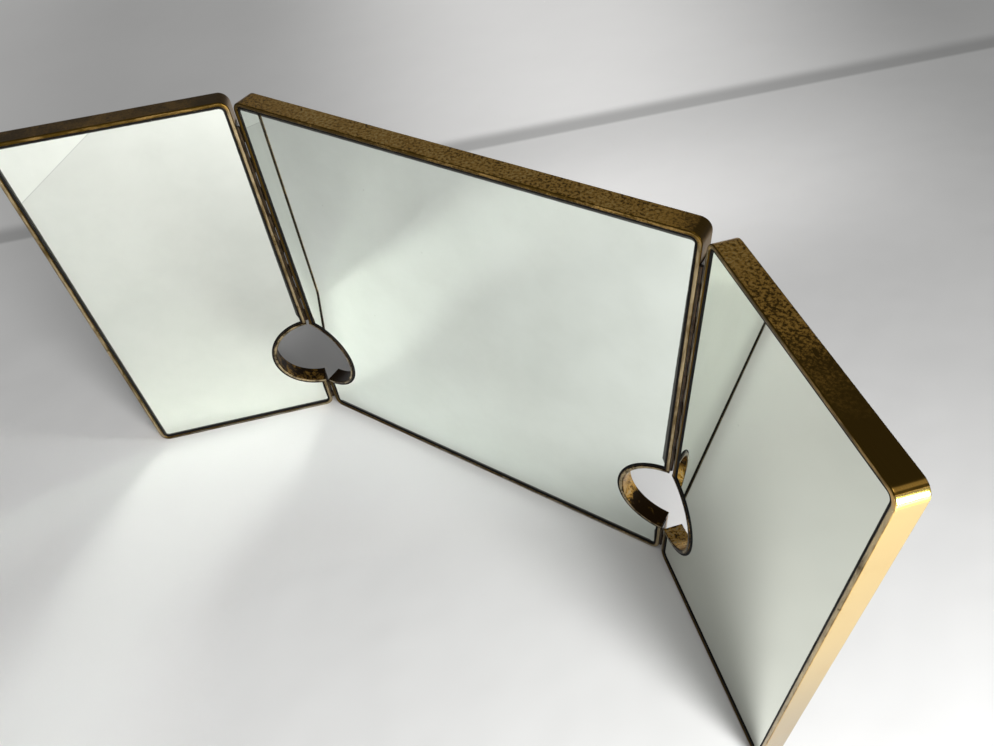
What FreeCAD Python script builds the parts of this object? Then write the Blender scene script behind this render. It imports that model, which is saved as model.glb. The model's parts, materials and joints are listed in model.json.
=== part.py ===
import FreeCAD, Part

import math
import os

import Sketcher

# Trifold vanity mirror: a wide middle panel and two wings, each a mirror in a frame of flat brass
# bar. The wings turn on narrow hinges along the front edges, from flat in line with the middle
# panel to closed over it. A round hole sits on each hinge line, half in each panel.
#
# Frame: X runs along the middle panel, Y from its front to its back, Z up. The origin is the
# middle of the middle panel's bottom face. The wings are built on their hinge axis and then
# turned by the fold angle.

# Driving sizes, in millimetres, degrees or pieces.
SIZES = {
    # panels
    "panel_height": 250.0,
    "middle_width": 262.0,
    "meeting_gap": 4.0,  # between the wings' free edges when both are closed
    "fold_angle": 44.0,  # of each wing forward from flat, as it stands
    "corner_radius": 6.0,
    "hole_radius": 28.0,  # clear radius of the round hole on the hinge line
    "hole_height": 55.5,  # of its centre above the bottom
    # brass bar
    "band_depth": 12.0,
    "band_thick": 2.3,
    "edge_round": 0.5,
    # glazing
    "bead_width": 1.25,
    "bead_thick": 0.6,
    "glass_recess": 1.0,  # glass face behind the bar's front edge
    "glass_thick": 3.0,
    "fitting_gap": 0.2,  # all round the glass and the back cover
    # back
    "cover_thick": 2.5,
    "cover_recess": 0.4,  # cover behind the bar's back edge
    "board_gap": 0.5,  # between the backing board and the lugs
    "board_corner": 2.0,
    "lug_width": 5.0,
    "lug_length": 9.0,
    "lug_gap": 0.3,  # between the lugs and the glass
    "lug_inset": 10.5,  # from the panel's edge to the lug's near end
    # cover screws
    "screw_radius": 1.0,
    "screw_length": 5.5,
    "screw_head_radius": 1.9,
    "screw_head_thick": 1.2,
    "screw_slot": 0.5,
    "screw_clearance": 0.1,
    # hinges
    "hinge_gap": 2.0,  # between the bars of two panels that lie flat
    "hinge_proud": 0.25,  # hinge axis in front of the front edges
    "barrel_radius": 0.85,
    "pin_radius": 0.4,
    "pin_clearance": 0.05,
    "leaf_thick": 0.45,
    "leaf_depth": 8.0,  # from the hinge axis to the leaf's back edge
    "knuckle_gap": 0.2,
    "knuckle_relief": 0.25,  # from a knuckle to the other leaf
    "upper_knuckles": 15,  # odd, so that the middle leaf has both end knuckles
    "lower_knuckles": 3,
    "hinge_top_inset": 15.0,
    "hinge_foot_inset": 8.5,
    "hinge_hole_inset": 5.0,  # from the hole up to the upper hinge
    "lower_hinge_hole_inset": 1.5,  # from the hole down to the lower hinge
    # hinge rivets
    "rivet_radius": 0.7,
    "rivet_head_radius": 1.2,
    "rivet_head_thick": 0.35,
    "rivet_head_round": 0.25,
    "rivet_clearance": 0.05,
    "rivet_depth": 5.0,  # behind the front edge
    "rivet_end_inset": 24.0,  # from the upper hinge's ends
}

COPLANAR = 1e-6
CUT_AT_LEAST = 1e-3

doc = FreeCAD.newDocument("TrifoldMirror")
sheet = doc.addObject("Spreadsheet::Sheet", "Sizes")
for row, (alias, value) in enumerate(SIZES.items(), start=1):
    sheet.set(f"A{row}", alias)
    sheet.set(f"B{row}", str(value))
    sheet.setAlias(f"B{row}", alias)
doc.recompute()


class Size:
    """A length worked out from the sheet: its value now, and the expression that keeps it."""

    def __init__(self, value, text):
        self.value = value
        self.text = text

    @staticmethod
    def of(thing):
        return thing if isinstance(thing, Size) else Size(float(thing), str(thing))

    def _with(self, other, sign, value):
        return Size(value, f"({self.text} {sign} {Size.of(other).text})")

    def __add__(self, other):
        return self._with(other, "+", self.value + Size.of(other).value)

    def __sub__(self, other):
        return self._with(other, "-", self.value - Size.of(other).value)

    def __mul__(self, other):
        return self._with(other, "*", self.value * Size.of(other).value)

    def __truediv__(self, other):
        return self._with(other, "/", self.value / Size.of(other).value)

    def __neg__(self):
        return self * -1


def size(alias):
    return Size(float(sheet.get(alias)), f"Sizes.{alias}")


def leg(hypotenuse, other_leg):
    """The other leg of a right triangle."""
    square = hypotenuse * hypotenuse - other_leg * other_leg
    return Size(math.sqrt(square.value), f"sqrt({square.text})")


ZERO = Size.of(0)
height = size("panel_height")
corner = size("corner_radius")
band_depth = size("band_depth")
band_thick = size("band_thick")
hole_radius = size("hole_radius")
hole_height = size("hole_height")
half_gap = size("hinge_gap") / 2
proud = size("hinge_proud")
glass_back = size("glass_recess") + size("glass_thick")
cover_front = band_depth - size("cover_recess") - size("cover_thick")
lug_front = glass_back + size("lug_gap")
middle_half = size("middle_width") / 2
wing_width = (size("middle_width") - size("meeting_gap")) / 2
axis_from_middle = middle_half + half_gap
rivet_hole = size("rivet_radius") + size("rivet_clearance")
screw_hole = size("screw_radius") + size("screw_clearance")

# z limits of the hinges
upper_hinge = (hole_height + hole_radius + size("hinge_hole_inset"), height - size("hinge_top_inset"))
lower_hinge = (size("hinge_foot_inset"), hole_height - hole_radius - size("lower_hinge_hole_inset"))
upper_rivets = [
    upper_hinge[0] + size("rivet_end_inset"),
    (upper_hinge[0] + upper_hinge[1]) / 2,
    upper_hinge[1] - size("rivet_end_inset"),
]
lower_rivets = [(lower_hinge[0] + lower_hinge[1]) / 2]


# ---- document helpers ----------------------------------------------------------------------


class Place:
    """Where a body's own origin stands, and how far it is turned about Z."""

    def __init__(self, x, y, turn=0):
        self.x = x
        self.y = y
        self.turn = turn

    def put(self, body):
        up = FreeCAD.Vector(0, 0, self.turn or 1)
        angle = size("fold_angle").value if self.turn else 0
        body.Placement = FreeCAD.Placement(FreeCAD.Vector(), FreeCAD.Rotation(up, angle))
        body.setExpression("Placement.Base.x", self.x.text)
        body.setExpression("Placement.Base.y", self.y.text)
        if self.turn:
            body.setExpression("Placement.Rotation.Angle", "Sizes.fold_angle * 1 deg")


class Piece:
    """One body of the document, with the few features that its maker needs."""

    def __init__(self, label, place):
        self.body = doc.addObject("PartDesign::Body", label)
        self.body.Label = label
        self.planes = {plane.Role: plane for plane in self.body.Origin.OriginFeatures}
        place.put(self.body)

    def sketch(self, plane, depth=ZERO):
        """A sketch on one of the body's own planes, moved along +Y or +X or +Z by depth."""
        sketch = self.body.newObject("Sketcher::SketchObject", f"{self.body.Label}_sketch")
        sketch.AttachmentSupport = [(self.planes[plane], "")]
        sketch.MapMode = "FlatFace"
        along = -depth if plane == "XZ_Plane" else depth
        sketch.setExpression("AttachmentOffset.Base.z", along.text)
        return sketch

    def _feature(self, kind, sketch, length, reverse):
        feature = self.body.newObject(f"PartDesign::{kind}", f"{self.body.Label}_{kind.lower()}")
        feature.Profile = sketch
        feature.setExpression("Length", length.text)
        feature.Reversed = reverse
        self.body.Tip = feature
        doc.recompute()
        return feature

    def pad(self, sketch, length, along=1):
        """Grow the sketch by a length along its plane's axis: 1 the positive way, -1 the other."""
        return self._feature("Pad", sketch, length, along != plane_normal(sketch))

    def pocket(self, sketch, length=None, along=1):
        """Cut the sketch away along its plane's axis: by a length, or right through both ways."""
        before = self.body.Shape.Volume
        feature = self._feature("Pocket", sketch, length or Size.of(1), along == plane_normal(sketch))
        if length is None:
            feature.Type = "ThroughAll"
            feature.SideType = "Symmetric"
            doc.recompute()
        if before - self.body.Shape.Volume < CUT_AT_LEAST:
            raise RuntimeError(f"{feature.Name} cuts nothing")
        return feature

    def pattern(self, feature, length, count):
        """Repeat a feature along Z, count times over the length."""
        repeat = self.body.newObject("PartDesign::LinearPattern", f"{self.body.Label}_pattern")
        repeat.Originals = [feature]
        repeat.Direction = (self.planes["Z_Axis"], [""])
        repeat.setExpression("Length", length.text)
        repeat.setExpression("Occurrences", count.text)
        self.body.Tip = repeat
        doc.recompute()
        return repeat

    def fillet(self, radius, wanted):
        """Round the edges that the test wanted picks."""
        base = self.body.Tip
        edges = [f"Edge{n}" for n, edge in enumerate(base.Shape.Edges, start=1) if wanted(edge)]
        feature = self.body.newObject("PartDesign::Fillet", f"{self.body.Label}_fillet")
        feature.Base = (base, edges)
        feature.setExpression("Radius", radius.text)
        self.body.Tip = feature
        doc.recompute()
        return feature


def plane_normal(sketch):
    """The sketch's normal along the world axis of its plane. The XZ plane's faces -Y."""
    return -1 if sketch.AttachmentSupport[0][0].Role == "XZ_Plane" else 1


def constrain(sketch, kind, name, value, *points):
    index = sketch.addConstraint(Sketcher.Constraint(kind, *points, value.value))
    sketch.renameConstraint(index, name)
    sketch.setExpression(f"Constraints.{name}", value.text)


def pin_point(sketch, name, x, y, geometry, end):
    """Tie a point of the sketch to its distances from the sketch's origin."""
    constrain(sketch, "DistanceX", f"{name}_x", x, -1, 1, geometry, end)
    constrain(sketch, "DistanceY", f"{name}_y", y, -1, 1, geometry, end)


def circle(sketch, x, y, radius):
    centre = FreeCAD.Vector(x.value, y.value, 0)
    up = FreeCAD.Vector(0, 0, 1)
    index = sketch.addGeometry(Part.Circle(centre, up, radius.value), False)
    pin_point(sketch, f"circle{index}", x, y, index, 3)
    constrain(sketch, "Radius", f"circle{index}_radius", radius, index)


def short_arc(start, end, centre):
    """The arc of under half a turn from start to end, and whether it runs backward."""
    ray_a = start - centre
    ray_b = end - centre
    backward = ray_a.cross(ray_b).z < 0
    first, last = (ray_b, ray_a) if backward else (ray_a, ray_b)
    whole = Part.Circle(centre, FreeCAD.Vector(0, 0, 1), ray_a.Length)
    return Part.ArcOfCircle(whole, math.atan2(first.y, first.x), math.atan2(last.y, last.x)), backward


def outline(sketch, corners):
    """A closed outline. Each corner is x, y and, where an arc leaves it, the arc's centre x, y."""
    points = [FreeCAD.Vector(c[0].value, c[1].value, 0) for c in corners]
    ends = []
    for n, spot in enumerate(corners):
        start = points[n]
        end = points[(n + 1) % len(points)]
        backward = False
        if len(spot) == 2:
            piece = Part.LineSegment(start, end)
        else:
            centre = FreeCAD.Vector(spot[2].value, spot[3].value, 0)
            piece, backward = short_arc(start, end, centre)
        index = sketch.addGeometry(piece, False)
        ends.append((index, 2, 1) if backward else (index, 1, 2))
        pin_point(sketch, f"corner{index}", spot[0], spot[1], index, ends[-1][1])
        if len(spot) == 4:
            chord = end - start
            if abs(chord.y) > abs(chord.x):
                constrain(sketch, "DistanceX", f"centre{index}_x", spot[2], -1, 1, index, 3)
            else:
                constrain(sketch, "DistanceY", f"centre{index}_y", spot[3], -1, 1, index, 3)
    for n, (index, _, last) in enumerate(ends):
        following, first, _ = ends[(n + 1) % len(ends)]
        sketch.addConstraint(Sketcher.Constraint("Coincident", index, last, following, first))


def rectangle(sketch, left, bottom, right, top):
    outline(sketch, [(left, bottom), (left, top), (right, top), (right, bottom)])


def in_plane(edge, y):
    return all(abs(vertex.Point.y - y) < COPLANAR for vertex in edge.Vertexes)


# ---- panels --------------------------------------------------------------------------------


class Edge:
    """One upright side of a panel: where it is, which way is outward, and its hinge axis."""

    def __init__(self, x, outward, hinged):
        self.x = x
        self.outward = outward
        self.hinged = hinged
        self.axis = x + half_gap * outward

    def inset(self, distance):
        return self.x - distance * self.outward


class Panel:
    """The shape of one panel in its own frame, with the pieces that fill its frame."""

    def __init__(self, name, left, right, front, place):
        self.name = name
        self.left = left
        self.right = right
        self.front = front
        self.place = place

    def piece(self, what):
        return Piece(f"{self.name}_{what}", self.place)

    def hinged_edges(self):
        return [edge for edge in (self.left, self.right) if edge.hinged]

    def glass_outline(self, inset, radius):
        """The panel's outline moved inward, with round corners and half-round hinge notches."""
        left = self.left.inset(inset)
        right = self.right.inset(inset)
        top = height - inset
        notch = leg(hole_radius + inset, half_gap + inset)
        corners = [(left, inset + radius)]
        if self.left.hinged:
            corners.append((left, hole_height - notch, self.left.axis, hole_height))
            corners.append((left, hole_height + notch))
        corners.append((left, top - radius, left + radius, top - radius))
        corners.append((left + radius, top))
        corners.append((right - radius, top, right - radius, top - radius))
        corners.append((right, top - radius))
        if self.right.hinged:
            corners.append((right, hole_height + notch, self.right.axis, hole_height))
            corners.append((right, hole_height - notch))
        corners.append((right, inset + radius, right - radius, inset + radius))
        corners.append((right - radius, inset))
        corners.append((left + radius, inset, left + radius, inset + radius))
        return corners

    def plate(self, what, inset, radius, front, thick):
        """A flat plate behind the front edge, with the panel's outline moved inward."""
        piece = self.piece(what)
        sketch = piece.sketch("XZ_Plane", self.front + front)
        outline(sketch, self.glass_outline(inset, radius))
        piece.pad(sketch, thick)
        return piece

    def lug_centres(self):
        """Centres of the lugs and cover screws: one near each corner."""
        across = band_thick + size("lug_width") / 2
        up = size("lug_inset") + size("lug_length") / 2
        return [
            (edge.inset(across), z, edge) for edge in (self.left, self.right) for z in (up, height - up)
        ]


def bar_corners(first, second, z, sign):
    """Both corners of the bar at one end of a panel: the outer run of the bar and the inner run."""
    outer = [
        (first.x, z + corner * sign, first.inset(corner), z + corner * sign),
        (first.inset(corner), z),
        (second.inset(corner), z, second.inset(corner), z + corner * sign),
        (second.x, z + corner * sign),
    ]
    inner = [
        (second.inset(band_thick), z + corner * sign, second.inset(corner), z + corner * sign),
        (second.inset(corner), z + band_thick * sign),
        (first.inset(corner), z + band_thick * sign, first.inset(corner), z + corner * sign),
        (first.inset(band_thick), z + corner * sign),
    ]
    return outer, inner


def bar_end(edge, sign, outer_first):
    """The end of a bar, coped to the outside of the hole band."""
    across = hole_radius + band_thick
    on_edge = (edge.x, hole_height + leg(across, half_gap) * sign)
    inside = (edge.inset(band_thick), hole_height + leg(across, half_gap + band_thick) * sign)
    axis = (edge.axis, hole_height)
    return [on_edge + axis, inside] if outer_first else [inside + axis, on_edge]


def is_cope(curved):
    """Whether an edge lies on the outside of the hole band."""
    cope_radius = (hole_radius + band_thick).value
    return hasattr(curved.Curve, "Radius") and abs(curved.Curve.Radius - cope_radius) < COPLANAR


def make_bar(panel, what, corners, rivets):
    """A bar bent on edge round a panel, with rivet holes through its hinged sides."""
    piece = panel.piece(what)
    sketch = piece.sketch("XZ_Plane", panel.front)
    outline(sketch, corners)
    piece.pad(sketch, band_depth)
    front = panel.front.value
    back = (panel.front + band_depth).value
    piece.fillet(
        size("edge_round"), lambda edge: (in_plane(edge, front) or in_plane(edge, back)) and not is_cope(edge)
    )
    holes = piece.sketch("YZ_Plane", ZERO)
    for z in rivets:
        circle(holes, panel.front + size("rivet_depth"), z, rivet_hole)
    if len(panel.hinged_edges()) == 2:
        piece.pocket(holes)
    else:
        piece.pocket(holes, half_gap + band_thick * 2, along=-panel.hinged_edges()[0].outward)
    return piece


def make_hole_band(panel, edge, what):
    """The bar bent round the half-round notch, between the ends of the long bars."""
    piece = panel.piece(what)
    inner = leg(hole_radius, half_gap)
    outer = leg(hole_radius + band_thick, half_gap)
    sketch = piece.sketch("XZ_Plane", panel.front)
    outline(
        sketch,
        [
            (edge.x, hole_height - inner, edge.axis, hole_height),
            (edge.x, hole_height + inner),
            (edge.x, hole_height + outer, edge.axis, hole_height),
            (edge.x, hole_height - outer),
        ],
    )
    piece.pad(sketch, band_depth)
    front = panel.front.value
    back = (panel.front + band_depth).value
    piece.fillet(
        size("edge_round"),
        lambda rim: (in_plane(rim, front) or in_plane(rim, back)) and hasattr(rim.Curve, "Radius"),
    )


def make_bead(panel):
    """The thin dark rim in front of the glass, against the inside of the bars."""
    piece = panel.piece("glazing_bead")
    thick = size("bead_thick")
    sketch = piece.sketch("XZ_Plane", panel.front + size("glass_recess") - thick)
    outline(sketch, panel.glass_outline(band_thick, corner - band_thick))
    inset = band_thick + size("bead_width")
    outline(sketch, panel.glass_outline(inset, corner - inset))
    piece.pad(sketch, thick)


def make_lugs(panel):
    """Blocks inside the bars near the corners, tapped for the cover screws."""
    piece = panel.piece("cover_lugs")
    sketch = piece.sketch("XZ_Plane", panel.front + lug_front)
    half_length = size("lug_length") / 2
    for _, z, edge in panel.lug_centres():
        near = edge.inset(band_thick)
        far = edge.inset(band_thick + size("lug_width"))
        rectangle(sketch, near, z - half_length, far, z + half_length)
    piece.pad(sketch, cover_front - lug_front)
    holes = piece.sketch("XZ_Plane", panel.front + lug_front)
    for x, z, _ in panel.lug_centres():
        circle(holes, x, z, screw_hole)
    piece.pocket(holes)


def make_cover(panel):
    """The plate that closes the back, with a counterbored hole for each screw."""
    inset = band_thick + size("fitting_gap")
    piece = panel.plate("back_cover", inset, corner - inset, cover_front, size("cover_thick"))
    holes = piece.sketch("XZ_Plane", panel.front + cover_front)
    sinks = piece.sketch("XZ_Plane", panel.front + cover_front + size("cover_thick"))
    for x, z, _ in panel.lug_centres():
        circle(holes, x, z, screw_hole)
        circle(sinks, x, z, size("screw_head_radius") + size("screw_clearance"))
    piece.pocket(holes)
    piece.pocket(sinks, size("screw_head_thick"), along=-1)


def make_cover_screws(panel):
    """Slotted cheese-head screws, flush with the cover."""
    piece = panel.piece("cover_screws")
    back = panel.front + cover_front + size("cover_thick")
    seat = back - size("screw_head_thick")
    shanks = piece.sketch("XZ_Plane", seat)
    heads = piece.sketch("XZ_Plane", seat)
    slots = piece.sketch("XZ_Plane", back)
    half_slot = size("screw_slot") / 2
    head = size("screw_head_radius")
    for x, z, _ in panel.lug_centres():
        circle(shanks, x, z, size("screw_radius"))
        circle(heads, x, z, head)
        rectangle(slots, x - head * 2, z - half_slot, x + head * 2, z + half_slot)
    piece.pad(heads, size("screw_head_thick"))
    piece.pad(shanks, size("screw_length") - size("screw_head_thick"), along=-1)
    piece.pocket(slots, size("screw_slot"), along=-1)


def make_filling(panel):
    """Everything inside the bars of a panel, from the bead to the back cover's screws."""
    make_bead(panel)
    inset = band_thick + size("fitting_gap")
    panel.plate("mirror_glass", inset, corner - inset, size("glass_recess"), size("glass_thick"))
    board_inset = band_thick + size("lug_width") + size("board_gap")
    panel.plate("backing_board", board_inset, size("board_corner"), glass_back, cover_front - glass_back)
    make_lugs(panel)
    make_cover(panel)
    make_cover_screws(panel)


def make_middle_panel():
    left = Edge(-middle_half, -1, True)
    right = Edge(middle_half, 1, True)
    place = Place(ZERO, -(band_depth / 2))
    panel = Panel("middle", left, right, ZERO, place)
    for what, z, sign, rivets in (
        ("upper_band", height, -1, upper_rivets),
        ("lower_band", ZERO, 1, lower_rivets),
    ):
        outer, inner = bar_corners(left, right, z, sign)
        corners = outer + bar_end(right, -sign, True) + inner + bar_end(left, -sign, False)
        make_bar(panel, what, corners, rivets)
    for side, edge in (("left", left), ("right", right)):
        make_hole_band(panel, edge, f"{side}_hole_band")
    make_filling(panel)


def make_wing(name, side):
    """A wing in its own frame, whose origin is on the hinge axis. side is -1 on the left."""
    hinged = Edge(half_gap * side, -side, True)
    free = Edge((half_gap + wing_width) * side, side, False)
    left, right = (free, hinged) if side < 0 else (hinged, free)
    place = Place(axis_from_middle * side, -(band_depth / 2) - proud, turn=-side)
    panel = Panel(name, left, right, proud, place)
    top_out, top_in = bar_corners(hinged, free, height, -1)
    foot_out, foot_in = bar_corners(free, hinged, ZERO, 1)
    corners = (
        top_out + foot_out + bar_end(hinged, -1, True) + foot_in + top_in + bar_end(hinged, 1, False)
    )
    make_bar(panel, "band", corners, lower_rivets + upper_rivets)
    make_hole_band(panel, hinged, "hole_band")
    make_filling(panel)


# ---- hinges --------------------------------------------------------------------------------


def knuckle_outline(toward):
    """Section of a knuckle with the tongue that joins it to its leaf. toward is the leaf's side."""
    radius = size("barrel_radius")
    outside = half_gap * toward
    inside = (half_gap - size("leaf_thick")) * toward
    root = radius + size("knuckle_relief")
    meets = leg(radius, half_gap - size("leaf_thick"))
    across = radius * toward
    return [
        (outside, ZERO),
        (outside, root),
        (inside, root),
        (inside, meets, ZERO, ZERO),
        (-across, ZERO, ZERO, ZERO),
        (ZERO, -radius, ZERO, ZERO),
        (across, ZERO),
    ]


def make_leaf(label, place, toward, span, knuckles, first, rivets):
    """A leaf with every second knuckle, starting from the first or second place of the barrel."""
    piece = Piece(label, place)
    bottom, top = span
    pitch = (top - bottom) / knuckles
    inside = (half_gap - size("leaf_thick")) * toward
    root = size("barrel_radius") + size("knuckle_relief")
    plate = piece.sketch("XY_Plane", bottom)
    rectangle(plate, inside, root, half_gap * toward, size("leaf_depth"))
    piece.pad(plate, top - bottom)
    section = piece.sketch("XY_Plane", bottom + pitch * first + size("knuckle_gap") / 2)
    outline(section, knuckle_outline(toward))
    knuckle = piece.pad(section, pitch - size("knuckle_gap"))
    count = (knuckles + 1) / 2 - first
    if round(count.value) > 1:
        piece.pattern(knuckle, pitch * 2 * (count - 1), count)
    bore = piece.sketch("XY_Plane", bottom)
    circle(bore, ZERO, ZERO, size("pin_radius") + size("pin_clearance"))
    piece.pocket(bore)
    holes = piece.sketch("YZ_Plane", ZERO)
    for z in rivets:
        circle(holes, proud + size("rivet_depth"), z, rivet_hole)
    piece.pocket(holes)


def make_pin(label, place, span):
    piece = Piece(label, place)
    bottom, top = span
    sketch = piece.sketch("XY_Plane", bottom)
    circle(sketch, ZERO, ZERO, size("pin_radius"))
    piece.pad(sketch, top - bottom)


def make_rivets(label, place, toward):
    """Rivets through the leaves of both hinges and the side of the bar, with round heads inside."""
    piece = Piece(label, place)
    seat = (half_gap - size("leaf_thick")) * toward
    shanks = piece.sketch("YZ_Plane", seat)
    heads = piece.sketch("YZ_Plane", seat)
    for z in lower_rivets + upper_rivets:
        circle(shanks, proud + size("rivet_depth"), z, size("rivet_radius"))
        circle(heads, proud + size("rivet_depth"), z, size("rivet_head_radius"))
    piece.pad(shanks, size("leaf_thick") + band_thick, along=toward)
    piece.pad(heads, size("rivet_head_thick"), along=-toward)
    crown = (seat - size("rivet_head_thick") * toward).value
    piece.fillet(
        size("rivet_head_round"), lambda rim: all(abs(v.Point.x - crown) < COPLANAR for v in rim.Vertexes)
    )


def make_hinges(name, side):
    """The upper and lower hinge of one wing, and the rivets that hold their leaves."""
    fixed = Place(axis_from_middle * side, -(band_depth / 2) - proud)
    turned = Place(axis_from_middle * side, -(band_depth / 2) - proud, turn=-side)
    for where, span, knuckles, rivets in (
        ("upper", upper_hinge, size("upper_knuckles"), upper_rivets),
        ("lower", lower_hinge, size("lower_knuckles"), lower_rivets),
    ):
        hinge = f"{name}_{where}_hinge"
        make_leaf(f"{hinge}_middle_leaf", fixed, -side, span, knuckles, 0, rivets)
        make_leaf(f"{hinge}_wing_leaf", turned, side, span, knuckles, 1, rivets)
        make_pin(f"{hinge}_pin", fixed, span)
    make_rivets(f"{name}_hinge_middle_rivets", fixed, -side)
    make_rivets(f"{name}_hinge_wing_rivets", turned, side)


# ---- the whole mirror ----------------------------------------------------------------------


def check_document():
    """Stop if any object failed or any body is not a sound solid."""
    for thing in doc.Objects:
        if "Invalid" in thing.State or "Error" in thing.State:
            raise RuntimeError(f"{thing.Label} failed: {thing.State}")
    for body in doc.findObjects("PartDesign::Body"):
        if body.Shape.isNull() or not body.Shape.isValid() or not body.Shape.Solids:
            raise RuntimeError(f"{body.Label} has no valid shape")


make_middle_panel()
for wing_name, wing_side in (("left", -1), ("right", 1)):
    make_wing(wing_name, wing_side)
    make_hinges(wing_name, wing_side)

doc.recompute()
check_document()
os.makedirs("parts", exist_ok=True)
for body in doc.findObjects("PartDesign::Body"):
    body.Shape.exportStep(f"parts/{body.Label}.step")
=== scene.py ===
"""Looks of a trifold vanity mirror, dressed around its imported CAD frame."""
import json
import logging
import math
from dataclasses import dataclass, field
from enum import Enum
from typing import Any, Callable

import bmesh
import bpy
import numpy as np
from mathutils import Matrix, Vector


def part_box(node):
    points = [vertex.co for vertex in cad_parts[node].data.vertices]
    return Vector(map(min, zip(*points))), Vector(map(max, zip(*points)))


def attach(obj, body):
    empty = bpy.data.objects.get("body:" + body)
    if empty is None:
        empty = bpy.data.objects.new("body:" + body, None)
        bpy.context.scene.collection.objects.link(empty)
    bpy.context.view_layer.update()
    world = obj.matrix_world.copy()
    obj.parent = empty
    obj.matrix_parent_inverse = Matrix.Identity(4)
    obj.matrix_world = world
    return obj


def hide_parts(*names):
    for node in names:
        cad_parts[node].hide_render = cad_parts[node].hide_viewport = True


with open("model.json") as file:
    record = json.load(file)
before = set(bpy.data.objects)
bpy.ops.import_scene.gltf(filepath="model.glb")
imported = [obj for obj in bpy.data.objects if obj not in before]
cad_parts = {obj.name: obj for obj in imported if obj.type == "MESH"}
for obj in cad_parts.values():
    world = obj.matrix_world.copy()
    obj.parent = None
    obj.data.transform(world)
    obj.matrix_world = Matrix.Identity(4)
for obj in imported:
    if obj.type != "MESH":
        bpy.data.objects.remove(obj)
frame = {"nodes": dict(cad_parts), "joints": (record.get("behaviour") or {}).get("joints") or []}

log = logging.getLogger("trifold_mirror")

MM = 0.001
SHARP_ANGLE = math.radians(35)
# Heights between which the look of a front at the foot gives way to that above it.
FOOT_FADE = (2.5 * MM, 9 * MM)

Colour = tuple[float, float, float]
Stops = tuple[tuple[float, ...], ...]
# A stretch of one measure and the two values that its ends map to.
Span = tuple[float, float, float, float]


class Side(Enum):
    """The two wings, by the sign of the X axis on their side."""

    LEFT = -1
    RIGHT = 1


class Run(Enum):
    """The stretches of a panel's outline, counter-clockwise as seen from the front."""

    FOOT = 0
    FOOT_RIGHT = 1
    RIGHT_LOW = 2
    RIGHT_NOTCH = 3
    RIGHT_HIGH = 4
    TOP_RIGHT = 5
    TOP = 6
    TOP_LEFT = 7
    LEFT_HIGH = 8
    LEFT_NOTCH = 9
    LEFT_LOW = 10
    FOOT_LEFT = 11


# ---- sizes ---------------------------------------------------------------------------------


@dataclass(frozen=True)
class BarStock:
    """The flat brass bar that frames each panel, in metres.

    Attributes:
        thick: Its thickness, which is the width of its front.
        arris: The radius of its long edges.
        crown: How much lower the front is at its sides than in its middle.
        corner: The outer radius at a panel's corners.
        least_corner: The least radius that the corners have further in.
    """

    thick: float = 2.3 * MM
    arris: float = 0.5 * MM
    crown: float = 0.10 * MM
    corner: float = 6.0 * MM
    least_corner: float = 0.25 * MM

    def corner_at(self, inset: float) -> float:
        """The corner radius of the outline moved inward."""
        return max(self.corner - inset, self.least_corner)


@dataclass(frozen=True)
class Sizes:
    """Overall sizes of the mirror, read from the frame, in metres and radians.

    Attributes:
        height: Height of every panel.
        half_width: Half the middle panel's width.
        depth: Depth of every panel.
        hole_height: Height of the round holes' middles.
        hole_radius: Clear radius of the holes.
        hinge_x: Distance of each hinge axis from the middle.
        hinge_proud: How far the hinge axes stand before the panels' fronts.
        wing_width: Width of a wing.
        fold: How far each wing is folded in at rest.
        bar: The bar's own sizes.
    """

    height: float
    half_width: float
    depth: float
    hole_height: float
    hole_radius: float
    hinge_x: float
    hinge_proud: float
    wing_width: float
    fold: float
    bar: BarStock = field(default_factory=BarStock)

    @property
    def edge_gap(self) -> float:
        """Distance from the hinge axis to the edge of either panel."""
        return self.hinge_x - self.half_width

    @staticmethod
    def from_frame() -> "Sizes":
        """Work the sizes out from the CAD nodes and joints.

        Returns:
            The sizes.
        """
        low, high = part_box("middle_upper_band")
        ring_low, ring_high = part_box("middle_left_hole_band")
        joint = next(j for j in frame["joints"] if j["child"] == "right_wing")
        bar = BarStock()
        hinge_x = joint["pos_m"][0]
        gap = hinge_x - high.x
        fold = -math.radians(joint["range_deg"][0])
        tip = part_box("right_band")[1].x - hinge_x - bar.arris
        back = high.y - joint["pos_m"][1] - bar.arris
        reach = (tip - back * math.sin(fold)) / math.cos(fold) + bar.arris
        return Sizes(
            height=high.z,
            half_width=high.x,
            depth=high.y - low.y,
            hole_height=(ring_low.z + ring_high.z) / 2,
            hole_radius=math.hypot((ring_high.z - ring_low.z) / 2, gap) - bar.thick,
            hinge_x=hinge_x,
            hinge_proud=low.y - joint["pos_m"][1],
            wing_width=reach - gap,
            fold=fold,
        )


# ---- outlines ------------------------------------------------------------------------------


def smooth_step(low: float, high: float, value: np.ndarray) -> np.ndarray:
    """Rise smoothly from 0 at low to 1 at high, as 3t^2 - 2t^3.

    Args:
        low: Where the rise starts.
        high: Where it ends.
        value: The values to map.

    Returns:
        Values from 0 to 1.
    """
    t = np.clip((value - low) / (high - low), 0.0, 1.0)
    return t * t * (3 - 2 * t)


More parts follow.
